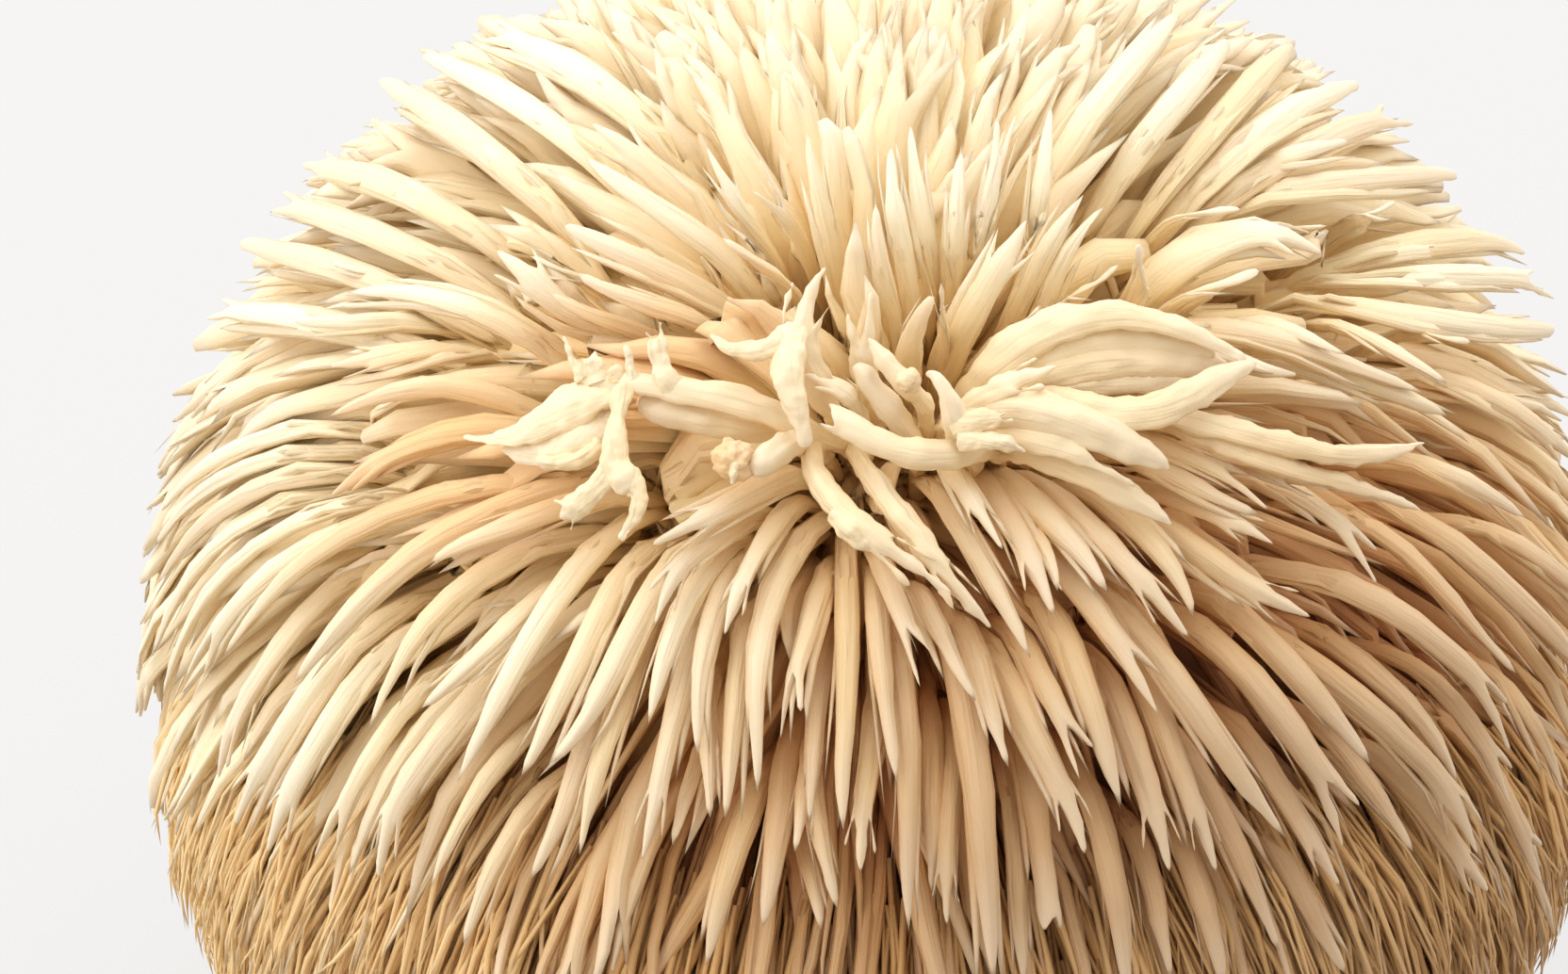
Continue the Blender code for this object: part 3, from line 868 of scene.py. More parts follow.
# Each route below was followed in the photograph's pixels, from the root to the tip.
# The torn and tangled pieces of the crown: how it ends, how flat it is (1 is round), and at each place
# x, y, the distance from the ball's centre in mm and the width in pixels.
CROWN_PIECES = {
    "left_arm": ("round", 0.6, (
        (905, 478, 50, 22), (870, 462, 56, 28), (830, 440, 59.5, 36), (780, 424, 60.5, 40),
        (730, 414, 61, 36), (690, 408, 61.3, 32), (650, 404, 61.5, 34), (612, 402, 61.5, 26))),
    "below_arm": ("round", 0.8, (
        (850, 468, 52, 24), (810, 455, 57, 34), (760, 446, 59, 40), (710, 438, 59.8, 36),
        (675, 430, 60.2, 30))),
    "sheet_top": ("round", 0.45, (
        (655, 412, 61, 40), (620, 425, 61.5, 62), (585, 442, 61.5, 62), (552, 462, 61.3, 36),
        (522, 467, 61.2, 18), (492, 464, 61.5, 6))),
    "sheet_low": ("round", 0.45, (
        (655, 440, 60, 50), (620, 465, 61, 70), (585, 480, 61, 44), (555, 482, 60.6, 22),
        (535, 476, 60.5, 10))),
    "sheet_curl": ("round", 0.8, (
        (640, 470, 61.5, 20), (615, 488, 62, 22), (590, 494, 61.8, 20), (570, 488, 61.5, 12))),
    "prong_left": ("round", 0.7, ((622, 405, 61.5, 26), (609, 385, 62, 15), (598, 357, 62.6, 4))),
    "prong_middle": ("forked", 0.6, ((636, 408, 61.5, 34), (630, 390, 62, 26), (624, 375, 62.4, 20))),
    "prong_bump": ("round", 0.7, ((655, 405, 61.5, 26), (652, 392, 62, 20), (648, 387, 62.2, 10))),
    "prong_small": ("round", 0.7, ((674, 404, 61.5, 16), (669, 385, 62, 10), (663, 366, 62.5, 4))),
    "prong_tall": ("forked", 0.45, (
        (722, 420, 60.8, 30), (706, 402, 61.8, 32), (699, 380, 62.2, 24), (697, 360, 62.6, 24),
        (692, 342, 63, 18))),
    "drop_stem": ("round", 0.6, (
        (662, 410, 61.5, 32), (656, 440, 62.3, 20), (653, 465, 62.6, 26), (652, 490, 62.8, 38),
        (662, 512, 62.9, 34), (670, 522, 62.9, 24))),
    "drop_right": ("round", 0.6, (
        (662, 505, 62.6, 34), (680, 524, 62.8, 24), (675, 548, 62.6, 18), (658, 572, 62.2, 12))),
    "drop_left": ("fingered", 0.5, (
        (652, 500, 62.5, 34), (632, 520, 62.7, 28), (612, 538, 62.7, 30), (592, 550, 62.5, 32))),
    "knob_stem": ("round", 0.9, (
        (868, 470, 54, 22), (845, 468, 58.5, 28), (825, 478, 60.8, 36), (808, 492, 61.3, 38),
        (796, 500, 61, 30))),
    "knob_drip": ("round", 1.0, ((784, 492, 61.6, 18), (780, 505, 62, 12), (778, 514, 62, 6))),
    "clump": ("fingered", 0.6, (
        (900, 465, 50, 24), (880, 430, 57, 30), (855, 390, 61, 40), (840, 352, 62.5, 50),
        (857, 312, 63, 46), (878, 283, 63, 32))),
    "clump_tip": ("round", 0.6, (
        (842, 345, 62, 44), (836, 378, 62.8, 46), (838, 408, 62.8, 36), (846, 437, 62.3, 32),
        (853, 459, 61.8, 27), (856, 475, 61.3, 13))),
    "clump_branch": ("round", 0.6, (
        (836, 362, 62.6, 36), (802, 372, 62.8, 26), (772, 369, 62.8, 18), (754, 355, 62.8, 6))),
    "bow": ("torn", 0.75, (
        (1062, 478, 54, 24), (1035, 478, 59.5, 28), (1000, 484, 61.5, 42), (965, 487, 62.2, 36),
        (935, 477, 62.3, 32), (905, 457, 62.2, 38), (880, 439, 62, 42), (858, 425, 61.8, 42))),
    "ragged_fold": ("fingered", 0.5, (
        (915, 440, 58, 20), (900, 418, 60.5, 24), (878, 404, 61.2, 26), (848, 396, 61.5, 24))),
    "sway_low": ("round", 0.85, (
        (975, 485, 52, 24), (962, 458, 57, 30), (942, 430, 59.3, 30), (922, 405, 60, 28),
        (908, 385, 60.3, 20))),
    "sway_top": ("round", 0.8, (
        (985, 440, 57, 24), (974, 418, 60.5, 26), (957, 402, 61.5, 28), (937, 384, 61.8, 28),
        (924, 367, 62, 16), (920, 356, 62, 6))),
    "sway_bead": ("round", 1.0, ((956, 402, 62, 22), (967, 404, 62.4, 27), (975, 410, 62.3, 17))),
    "hook": ("round", 0.95, (
        (1030, 492, 54, 30), (1020, 470, 60, 36), (1011, 445, 62.3, 28), (1008, 415, 63, 23),
        (1003, 396, 63.3, 22), (992, 387, 63.3, 20), (981, 396, 62.8, 13))),
    "hook_branch": ("forked", 0.7, (
        (1012, 455, 61.5, 34), (1038, 448, 62.6, 28), (1058, 445, 62.8, 20), (1074, 443, 62.8, 8))),
    "hook_spur": ("round", 0.7, (
        (1018, 466, 61.5, 34), (1045, 466, 62.6, 26), (1070, 473, 62.5, 16), (1089, 479, 62.2, 5))),
    "lumpy": ("fingered", 0.85, (
        (872, 455, 52, 20), (858, 478, 57, 25), (863, 507, 60, 27), (882, 533, 61.3, 30),
        (903, 553, 62, 38), (928, 571, 62.3, 36), (958, 590, 62.4, 34), (985, 612, 62.2, 34),
        (1010, 633, 61.8, 30))),
    "lumpy_flap": ("round", 0.6, (
        (888, 540, 61.5, 30), (903, 562, 62.3, 32), (920, 577, 62.3, 24), (937, 582, 62, 9))),
    "slanting": ("fingered", 0.85, (
        (905, 470, 52, 20), (917, 495, 57, 26), (932, 515, 59.8, 30), (953, 543, 61, 33),
        (977, 577, 61.6, 33), (1005, 611, 61.7, 33), (1030, 642, 61.4, 33), (1052, 669, 61, 28))),
    "lobe_top": ("fingered", 0.55, (
        (1000, 450, 54, 26), (1035, 425, 58.5, 34), (1065, 410, 60.8, 40), (1097, 397, 61.8, 42),
        (1126, 388, 62, 38))),
    "lobe_middle": ("round", 0.6, (
        (1000, 455, 54, 30), (1040, 433, 59, 40), (1085, 430, 61, 52), (1130, 442, 62, 52),
        (1172, 460, 62.3, 46), (1210, 478, 62.2, 36), (1243, 498, 61.8, 12))),
    "lobe_low": ("forked", 0.6, (
        (1020, 462, 54, 30), (1062, 452, 59, 40), (1105, 462, 60.8, 46), (1150, 478, 61.5, 44),
        (1185, 493, 61.6, 36), (1209, 510, 61.3, 22))),
    "lobe_under": ("round", 0.7, (
        (1045, 470, 53, 28), (1090, 478, 58, 36), (1140, 495, 59.8, 38), (1185, 515, 60.5, 36),
        (1218, 537, 60.5, 28), (1244, 556, 60.3, 8))),
    "tongue": ("round", 0.5, (
        (1060, 425, 57, 36), (1110, 425, 60.8, 44), (1160, 438, 61.8, 48), (1210, 443, 62.6, 38),
        (1245, 434, 62.9, 44), (1272, 418, 63, 40), (1293, 400, 63, 36), (1313, 386, 62.8, 26),
        (1336, 386, 62.5, 6))),
    "leaf_edge": ("round", 0.55, (
        (1030, 410, 54, 40), (1065, 375, 59, 56), (1110, 345, 61, 50), (1160, 333, 62, 44),
        (1205, 330, 62.5, 34), (1250, 345, 62.8, 28), (1290, 364, 62.8, 24), (1322, 382, 62.6, 16))),
    "leaf_upper": ("round", 0.6, (
        (1040, 415, 54, 30), (1080, 388, 58.5, 42), (1130, 368, 60, 46), (1190, 358, 60.8, 46),
        (1245, 363, 61.2, 40), (1290, 376, 61.4, 26))),
    "leaf_inside": ("round", 0.6, (
        (1050, 420, 54, 30), (1090, 402, 58.5, 40), (1140, 388, 59.8, 44), (1200, 380, 60.5, 44),
        (1255, 382, 60.9, 38), (1300, 388, 61, 24))),
    "leaf_lower": ("round", 0.7, (
        (1060, 425, 54, 28), (1100, 412, 58, 36), (1150, 405, 59, 36), (1205, 404, 59.6, 34),
        (1260, 400, 60, 26))),
    "white_curve": ("round", 0.65, (
        (1190, 425, 56, 30), (1240, 443, 59.8, 34), (1290, 452, 61, 34), (1340, 465, 61.8, 36),
        (1388, 480, 62.3, 34), (1430, 486, 62.5, 30), (1470, 482, 62.5, 22), (1512, 470, 62.2, 4))),
    "below_curve": ("round", 0.8, (
        (1220, 440, 56, 28), (1260, 458, 59.5, 30), (1310, 478, 60.8, 30), (1370, 500, 61.3, 30),
        (1425, 513, 61.5, 26), (1470, 526, 61.3, 18), (1507, 541, 61, 5))),
    "standing_lobe": ("forked", 0.7, (
        (925, 420, 54, 26), (915, 380, 59.5, 36), (912, 350, 61.3, 36), (914, 325, 62, 28),
        (917, 308, 62.3, 18))),
}

# Whole spines: how it ends, its width in pixels, the distance of its root and its tip from the ball's
# centre in mm, and its route in pixels.
LONG_ROUTES = (
    # below the crown, from the middle to the right
    ("pointed", 30, 53, 60.0, (868, 545), (842, 580), (815, 625), (803, 680), (801, 740), (804, 800),
     (804, 865)),
    ("pointed", 36, 52, 58.5, (836, 790), (830, 850), (823, 910), (813, 965), (806, 1002)),
    ("forked", 30, 52, 59.5, (876, 600), (864, 650), (847, 700), (838, 745), (838, 787)),
    ("pointed", 29, 52, 60.2, (897, 570), (900, 640), (901, 700), (897, 760), (892, 810), (893, 860),
     (896, 905)),
    ("pointed", 27, 53, 59.5, (926, 600), (932, 660), (936, 720), (943, 770), (950, 815), (955, 850)),
    ("pointed", 31, 53, 59.5, (944, 630), (957, 700), (966, 770), (967, 830), (963, 890), (963, 950),
     (965, 1012)),
    ("forked", 28, 53, 60.5, (930, 585), (945, 620), (960, 660), (975, 695), (989, 727)),
    ("pointed", 30, 54, 60.2, (975, 625), (990, 655), (1008, 690), (1023, 725), (1043, 757)),
    ("pointed", 26, 53, 57.5, (990, 760), (990, 820), (990, 890), (988, 962)),
    ("fingered", 26, 54, 58.2, (1012, 790), (1007, 860), (1003, 925), (1004, 983)),
    ("pointed", 38, 54, 59.8, (1006, 650), (1022, 720), (1036, 800), (1043, 880), (1048, 950),
     (1053, 1010), (1056, 1065)),
    ("pointed", 28, 55, 60.3, (1025, 665), (1040, 710), (1052, 755), (1064, 795), (1074, 827)),
    ("pointed", 28, 53, 58.0, (1075, 830), (1078, 890), (1080, 950), (1085, 1010), (1087, 1060)),
    ("torn", 32, 53, 58.3, (1085, 790), (1097, 850), (1107, 910), (1112, 960), (1116, 1003)),
    ("fingered", 36, 55, 60.2, (1055, 690), (1080, 745), (1108, 800), (1132, 845), (1146, 878),
     (1150, 908)),
    ("forked", 31, 55, 60.0, (1085, 675), (1108, 725), (1130, 770), (1148, 800), (1159, 824)),
    ("pointed", 35, 55, 60.2, (1112, 635), (1138, 690), (1157, 740), (1170, 790), (1182, 830),
     (1195, 870)),
    ("pointed", 36, 54, 59.0, (1152, 820), (1170, 880), (1182, 930), (1190, 980), (1195, 1030),
     (1198, 1070)),
    ("fingered", 37, 54, 59.6, (1170, 700), (1190, 755), (1207, 805), (1222, 850), (1233, 888),
     (1240, 927)),
    ("pointed", 33, 53, 58.5, (1212, 890), (1225, 950), (1235, 1000), (1245, 1050)),
    ("fingered", 35, 54, 59.6, (1205, 690), (1228, 750), (1248, 805), (1266, 850), (1280, 890),
     (1290, 927)),
    ("pointed", 35, 54, 59.0, (1258, 890), (1276, 950), (1290, 1000), (1300, 1055)),
    ("pointed", 35, 56, 60.4, (1165, 615), (1203, 662), (1240, 710), (1272, 758), (1305, 810),
     (1335, 850), (1375, 904)),
    ("pointed", 36, 54, 59.3, (1248, 770), (1285, 840), (1313, 900), (1335, 950), (1350, 990),
     (1363, 1024)),
    ("forked", 38, 55, 60.2, (1262, 648), (1303, 690), (1345, 737), (1380, 785), (1408, 830),
     (1430, 866), (1442, 896)),
    ("fingered", 36, 54, 59.5, (1320, 770), (1355, 835), (1385, 880), (1405, 915), (1421, 942)),
    ("pointed", 34, 54, 59.0, (1345, 880), (1370, 930), (1395, 975), (1415, 1010), (1433, 1043)),
    ("pointed", 34, 55, 60.0, (1290, 625), (1335, 670), (1375, 712), (1408, 750), (1440, 790),
     (1462, 822)),
    # at the right of the crown
    ("pointed", 32, 53, 60.6, (990, 505), (1018, 555), (1045, 602), (1069, 645), (1088, 685),
     (1102, 717)),
    ("fingered", 30, 53, 60.8, (1003, 480), (1020, 513), (1042, 548), (1064, 585)),
    ("fingered", 37, 53, 60.5, (1040, 500), (1068, 543), (1092, 590), (1108, 625), (1117, 653)),
    ("pointed", 28, 55, 60.0, (1080, 550), (1106, 578), (1121, 605), (1124, 638)),
    ("pointed", 38, 53, 60.5, (1055, 500), (1105, 540), (1140, 577), (1166, 610), (1184, 642)),
    ("forked", 37, 54, 60.3, (1105, 570), (1148, 627), (1182, 675), (1213, 713), (1241, 752)),
    ("pointed", 37, 53, 60.3, (1150, 510), (1192, 545), (1230, 580), (1260, 620), (1270, 671)),
    ("fingered", 35, 53, 60.4, (1090, 500), (1140, 545), (1180, 580), (1218, 622), (1262, 679)),
    ("fingered", 37, 54, 60.2, (1210, 540), (1260, 580), (1310, 613), (1355, 640), (1392, 657)),
    ("pointed", 31, 54, 59.6, (1235, 572), (1285, 608), (1323, 636), (1353, 657)),
    ("forked", 29, 54, 60.5, (1190, 455), (1245, 476), (1290, 496), (1330, 515), (1353, 534)),
    ("pointed", 29, 54, 60.2, (1195, 475), (1250, 508), (1300, 533), (1348, 550)),
    ("fingered", 31, 54, 60.0, (1225, 515), (1280, 540), (1322, 560), (1353, 580)),
    ("fingered", 27, 55, 60.8, (1275, 468), (1330, 492), (1375, 510), (1413, 521)),
    ("pointed", 31, 55, 60.5, (1230, 335), (1290, 343), (1345, 350), (1395, 372), (1445, 393),
     (1490, 407), (1524, 423)),
    ("pointed", 34, 54, 60.0, (1310, 365), (1375, 378), (1435, 398), (1495, 423), (1548, 447)),
    # at the left of the crown
    ("fingered", 32, 53, 60.3, (840, 530), (813, 570), (791, 610), (776, 646), (767, 676)),
    ("pointed", 29, 53, 59.8, (790, 575), (762, 625), (745, 685), (738, 750), (742, 820)),
    ("fingered", 35, 53, 60.8, (845, 500), (802, 523), (757, 545), (716, 565), (690, 578)),
    ("fingered", 30, 53, 60.2, (805, 542), (764, 567), (728, 592), (705, 625), (693, 665)),
    ("pointed", 30, 54, 60.0, (775, 570), (742, 610), (716, 660), (702, 710), (692, 755), (684, 786)),
    ("fingered", 30, 54, 59.6, (748, 640), (730, 700), (715, 760), (702, 820), (692, 870), (680, 915)),
    ("pointed", 26, 54, 59.0, (748, 730), (751, 780), (753, 835), (754, 881)),
    ("pointed", 26, 53, 58.6, (745, 790), (731, 840), (718, 880), (710, 907)),
    ("pointed", 27, 54, 59.6, (790, 650), (782, 710), (777, 780), (773, 840), (768, 885)),
    ("pointed", 31, 53, 59.0, (805, 830), (788, 885), (770, 935), (758, 985), (746, 1040)),
    ("pointed", 26, 54, 59.3, (862, 800), (852, 850), (845, 890), (842, 916)),
    ("pointed", 27, 53, 58.8, (876, 680), (867, 740), (863, 790), (861, 850), (858, 890)),
    ("pointed", 27, 54, 59.4, (858, 800), (862, 850), (873, 900), (885, 945), (892, 979)),
    ("pointed", 24, 53, 58.0, (850, 890), (862, 935), (870, 970), (873, 997)),
    ("fingered", 29, 54, 59.6, (930, 750), (922, 810), (914, 870), (912, 927)),
    ("pointed", 35, 54, 60.5, (725, 575), (690, 632), (660, 692), (635, 748), (605, 795), (572, 823)),
    ("pointed", 30, 54, 60.0, (690, 650), (672, 705), (652, 760), (635, 815), (620, 870), (612, 926)),
    ("pointed", 34, 54, 60.2, (672, 580), (642, 640), (616, 695), (594, 745), (570, 795), (545, 838)),
    ("pointed", 32, 54, 59.8, (648, 720), (624, 785), (605, 845), (585, 895), (556, 946)),
    ("pointed", 37, 54, 60.3, (650, 550), (608, 606), (573, 658), (545, 710), (520, 760), (496, 808),
     (476, 850)),
    ("pointed", 31, 54, 59.8, (590, 615), (545, 665), (503, 703), (468, 735), (437, 760)),
    ("pointed", 36, 54, 60.2, (620, 500), (555, 525), (490, 553), (430, 590), (380, 640), (338, 690),
     (300, 742)),
    ("spurred", 35, 54, 60.4, (640, 520), (580, 545), (520, 565), (468, 585), (438, 613)),
    ("pointed", 34, 54, 59.6, (600, 560), (530, 590), (470, 632), (430, 685), (405, 740), (385, 790)),
    # on the left flank
    ("fingered", 36, 54, 60.0, (560, 455), (500, 452), (440, 470), (395, 495), (350, 527)),
    ("pointed", 30, 54, 60.6, (560, 430), (490, 405), (440, 405), (390, 424), (336, 448)),
    ("pointed", 30, 55, 60.2, (590, 500), (520, 505), (450, 525), (390, 550), (335, 580), (292, 620),
     (255, 665), (226, 715)),
    ("forked", 27, 56, 60.0, (430, 540), (365, 557), (305, 588), (255, 632), (220, 685), (198, 740)),
    ("pointed", 26, 56, 60.2, (400, 518), (340, 536), (288, 560), (240, 600), (203, 650), (180, 705),
     (168, 760)),
    ("pointed", 24, 56, 60.0, (345, 512), (298, 530), (248, 558), (205, 600), (176, 652), (158, 710)),
    ("pointed", 23, 57, 60.0, (340, 492), (288, 507), (235, 537), (192, 578), (162, 630)),
    ("spurred", 24, 57, 60.2, (345, 470), (285, 482), (228, 510), (184, 548), (156, 595)),
    ("pointed", 24, 57, 60.3, (350, 445), (290, 457), (236, 480), (193, 512), (165, 552)),
    ("fingered", 32, 54, 60.4, (375, 597), (330, 642), (292, 690), (263, 735), (243, 778), (231, 828)),
    ("fingered", 32, 54, 60.2, (405, 640), (362, 690), (325, 740), (292, 790), (264, 838), (248, 876)),
    ("fingered", 34, 54, 60.0, (425, 660), (388, 712), (350, 765), (320, 815), (298, 860), (283, 905)),
    ("forked", 27, 54, 60.0, (470, 705), (430, 745), (400, 790), (375, 832), (356, 875), (340, 920)),
    ("pointed", 26, 53, 59.2, (520, 700), (462, 750), (425, 800), (398, 850), (378, 900), (366, 945)),
    ("fingered", 34, 54, 60.2, (545, 690), (502, 742), (462, 790), (428, 835), (408, 880), (400, 935)),
    ("pointed", 26, 54, 59.8, (565, 765), (522, 818), (492, 862), (470, 908), (452, 955)),
    ("pointed", 26, 54, 59.4, (580, 830), (546, 875), (520, 925), (500, 975), (488, 1015)),
    # on the right flank
    ("forked", 36, 54, 60.4, (1350, 596), (1400, 608), (1455, 627), (1501, 658), (1547, 701),
     (1586, 740), (1609, 790)),
    ("forked", 30, 54, 60.2, (1330, 500), (1375, 522), (1415, 548), (1445, 580), (1470, 615)),
    ("pointed", 30, 54, 60.0, (1420, 530), (1470, 560), (1510, 600), (1550, 650), (1585, 690),
     (1618, 724)),
    ("pointed", 34, 55, 60.4, (1470, 515), (1530, 558), (1580, 605), (1625, 647), (1665, 690),
     (1700, 735)),
    ("fingered", 30, 55, 60.2, (1500, 385), (1555, 410), (1600, 430), (1640, 460), (1672, 490)),
    ("pointed", 30, 55, 60.0, (1480, 480), (1530, 500), (1580, 522), (1628, 556)),
    ("pointed", 30, 55, 60.0, (1560, 545), (1610, 575), (1660, 612), (1700, 655)),
    ("pointed", 28, 55, 60.0, (1580, 700), (1612, 742), (1641, 790), (1662, 850)),
    ("fingered", 36, 54, 60.4, (1345, 660), (1400, 714), (1451, 751), (1501, 792), (1534, 834),
     (1554, 875), (1568, 910)),
    ("pointed", 30, 53, 59.6, (1400, 662), (1451, 710), (1501, 751), (1532, 792), (1552, 846)),
    ("forked", 30, 54, 60.0, (1501, 698), (1551, 751), (1580, 795), (1610, 846)),
    ("forked", 34, 54, 60.2, (1551, 766), (1594, 836), (1618, 890), (1641, 926)),
    ("fingered", 34, 54, 59.8, (1455, 790), (1501, 836), (1534, 884), (1564, 930), (1579, 948)),
    ("pointed", 30, 54, 59.6, (1400, 760), (1440, 812), (1478, 868), (1506, 915)),
)


# The broad pale lobes above the crown, in the same form.
UPPER_LOBES = (
    # standing behind the crown
    ("fingered", 42, 52, 61.0, (1010, 372), (1034, 324), (1062, 282), (1092, 232)),
    ("pointed", 22, 54, 61.5, (1003, 360), (1000, 325), (998, 290)),
    ("blunt", 36, 52, 60.5, (962, 392), (968, 345), (992, 314)),
    ("pointed", 27, 52, 60.5, (948, 340), (932, 275), (928, 202)),
    ("pointed", 27, 53, 60.5, (970, 316), (957, 265), (945, 205), (946, 142)),
    ("pointed", 27, 53, 60.5, (991, 300), (982, 256), (970, 192), (965, 120)),
    ("pointed", 28, 53, 60.5, (1012, 300), (1012, 256), (1016, 205), (1021, 148)),
    ("forked", 28, 53, 60.5, (1029, 290), (1042, 252), (1051, 200), (1072, 112)),
    ("pointed", 27, 53, 60.5, (1090, 275), (1098, 239), (1108, 165), (1117, 100)),
    ("pointed", 28, 53, 60.5, (1085, 316), (1115, 256), (1140, 218), (1158, 196)),
    ("pointed", 28, 53, 60.5, (1106, 324), (1132, 264), (1157, 230), (1180, 212)),
    ("pointed", 30, 53, 60.5, (1130, 325), (1165, 300), (1198, 272)),
    ("pointed", 16, 57, 61.5, (1085, 345), (1098, 332), (1108, 320)),
    ("pointed", 28, 52, 60.5, (890, 300), (876, 239), (860, 171), (855, 128)),
    ("forked", 28, 52, 60.5, (860, 273), (824, 213), (795, 175)),
    ("fingered", 28, 52, 60.5, (824, 273), (790, 230), (765, 185), (750, 155)),
    # to the left of them, from the middle outwards
    ("pointed", 32, 53, 60.5, (840, 305), (800, 275), (755, 245)),
    ("pointed", 30, 53, 60.5, (799, 299), (752, 256), (701, 222), (650, 192), (611, 158)),
    ("blunt", 32, 53, 60.5, (773, 324), (705, 290), (650, 264), (598, 239)),
    ("pointed", 30, 54, 60.8, (752, 341), (701, 328), (645, 311), (603, 284)),
    ("pointed", 28, 54, 60.8, (700, 356), (637, 341), (603, 324), (573, 303)),
    ("fingered", 44, 54, 61.5, (640, 348), (597, 330), (567, 300), (543, 274), (527, 264)),
    ("pointed", 24, 54, 61.0, (640, 310), (596, 286), (552, 267)),
    ("pointed", 30, 53, 60.6, (608, 392), (564, 352), (523, 331), (464, 311), (405, 308), (355, 311)),
    ("pointed", 22, 54, 60.6, (449, 296), (399, 293), (364, 282), (341, 275)),
    ("pointed", 24, 54, 60.6, (470, 340), (400, 341), (345, 342), (303, 343)),
    ("pointed", 24, 54, 60.6, (460, 330), (400, 325), (355, 320), (332, 331)),
    ("fingered", 36, 54, 61.0, (500, 372), (464, 366), (420, 378), (380, 384), (350, 388)),
    # out to the outline, on the left and then on the right
    ("blunt", 36, 58.5, 60.3, (560, 190), (480, 130), (404, 84)),
    ("blunt", 36, 58.5, 60.3, (620, 150), (530, 95), (450, 57)),
    ("forked", 36, 58.5, 60.3, (680, 110), (590, 60), (510, 27)),
    ("fingered", 36, 58.5, 60.3, (480, 225), (400, 190), (321, 174)),
    ("forked", 36, 58.5, 60.3, (450, 265), (360, 235), (287, 212)),
    ("blunt", 36, 58.5, 60.3, (420, 300), (330, 275), (257, 257)),
    ("forked", 36, 58.5, 60.3, (390, 345), (300, 335), (221, 327)),
    ("blunt", 36, 58.5, 60.3, (1140, 140), (1200, 70), (1248, 14)),
    ("blunt", 36, 58.5, 60.3, (1210, 150), (1265, 90), (1304, 42)),
    ("pointed", 36, 58.5, 60.3, (1265, 160), (1325, 95), (1377, 41)),
    ("blunt", 36, 58.5, 60.3, (1300, 165), (1370, 115), (1440, 88)),
    ("forked", 36, 58.5, 60.3, (1340, 175), (1420, 140), (1490, 120)),
    # on the right of the crown
    ("pointed", 30, 53, 60.6, (1287, 192), (1342, 171), (1390, 158), (1441, 147)),
    ("blunt", 34, 54, 61.2, (1280, 209), (1342, 199), (1410, 192), (1458, 192), (1527, 182),
     (1546, 186)),
    ("blunt", 20, 55, 61.0, (1235, 240), (1263, 227), (1287, 224), (1317, 222)),
    ("fingered", 56, 54, 61.3, (1229, 291), (1263, 264), (1304, 246), (1349, 245), (1386, 258),
     (1404, 272)),
    ("blunt", 34, 54, 61.8, (1249, 325), (1294, 302), (1338, 287)),
    ("blunt", 26, 57, 62.0, (1213, 300), (1210, 280), (1207, 258)),
    ("pointed", 22, 55, 60.8, (1356, 247), (1390, 243), (1418, 238)),
    ("fingered", 24, 55, 60.8, (1424, 243), (1452, 230), (1483, 214)),
    ("blunt", 36, 54, 61.0, (1404, 274), (1458, 264), (1527, 255), (1596, 254), (1620, 270)),
    ("forked", 32, 55, 61.4, (1414, 284), (1458, 291), (1527, 295), (1596, 292), (1645, 304)),
    ("blunt", 34, 55, 60.8, (1390, 302), (1458, 329), (1527, 346), (1596, 350), (1650, 350)),
    ("pointed", 30, 54, 61.0, (1301, 345), (1340, 335), (1375, 350), (1410, 370), (1441, 382)),
    ("pointed", 30, 54, 60.8, (1404, 336), (1458, 360), (1513, 391), (1548, 415)),
    ("blunt", 18, 56, 61.0, (1490, 350), (1517, 356), (1537, 360), (1561, 363)),
)


LONG_FLATNESS = 0.7
LOBE_FLATNESS = 0.5
RISE_CURVE = 0.7  # below 1, a followed spine comes out to its tip's distance sooner
CROWN_TINT = 0.68  # least tint of the crown's pieces, above 0.6 they are yellower
FULLNESS = 1.1  # what the smoothing takes off a traced piece is added to its width
ROOT_DEPTH = 0.008
ROOT_BACK = 0.5  # of its first step, how far back its root begins
ROOT_WIDTH = 0.9
ROOTED_BELOW = 59  # mm; a piece that starts farther out grows from another piece
TRACED_TURN = 0.15
SPINE_SMOOTHING = 1
CROWN_SMOOTHING = 2
SPINE_CRUMPLE = (0.0022, 0.0004)  # size and depth of the lumps on a surface
CROWN_CRUMPLE = (0.0017, 0.0008)
KNOB_CRUMPLE = (0.0009, 0.0011)
KNOB_PIXEL = (779, 487)
KNOB_PIXELS = 40  # across
KNOB_RADIUS = 0.0612  # from the ball's centre
SLIVERS = 3  # beside each followed spine
SLIVER_REACH = (0.78, 1.03)  # where they end, as shares of the spine's length
SLIVER_GIRTH = (0.35, 0.6)
SLIVER_LEAN = (0.25, 0.6)  # of the spine's width, how far off its middle they end
SLIVER_CLOSE = 0.4  # of that, how far off they begin
SLIVER_DEPTH = 0.2  # of the spine's width, how far below its middle they lie
SLIVER_TWIST = 0.5
SLIVER_FLATNESS = 0.7
SLIVER_ENDINGS = ("pointed", "slender", "spurred")


def metres_across(pixels, places):
    """Widths in metres of this many pixels at these places."""
    return FULLNESS * pixels * ((places - CAMERA_PLACE) @ VIEW_AHEAD) / FOCAL_PIXELS


def rooted(places, widths):
    """The route lengthened at its start, down into the flesh."""
    start, after = places[0], places[1]
    root = start + (start - after) * ROOT_BACK - unit(start - BALL_CENTRE) * ROOT_DEPTH
    return np.vstack([root, places]), np.concatenate([[widths[0] * ROOT_WIDTH], widths])


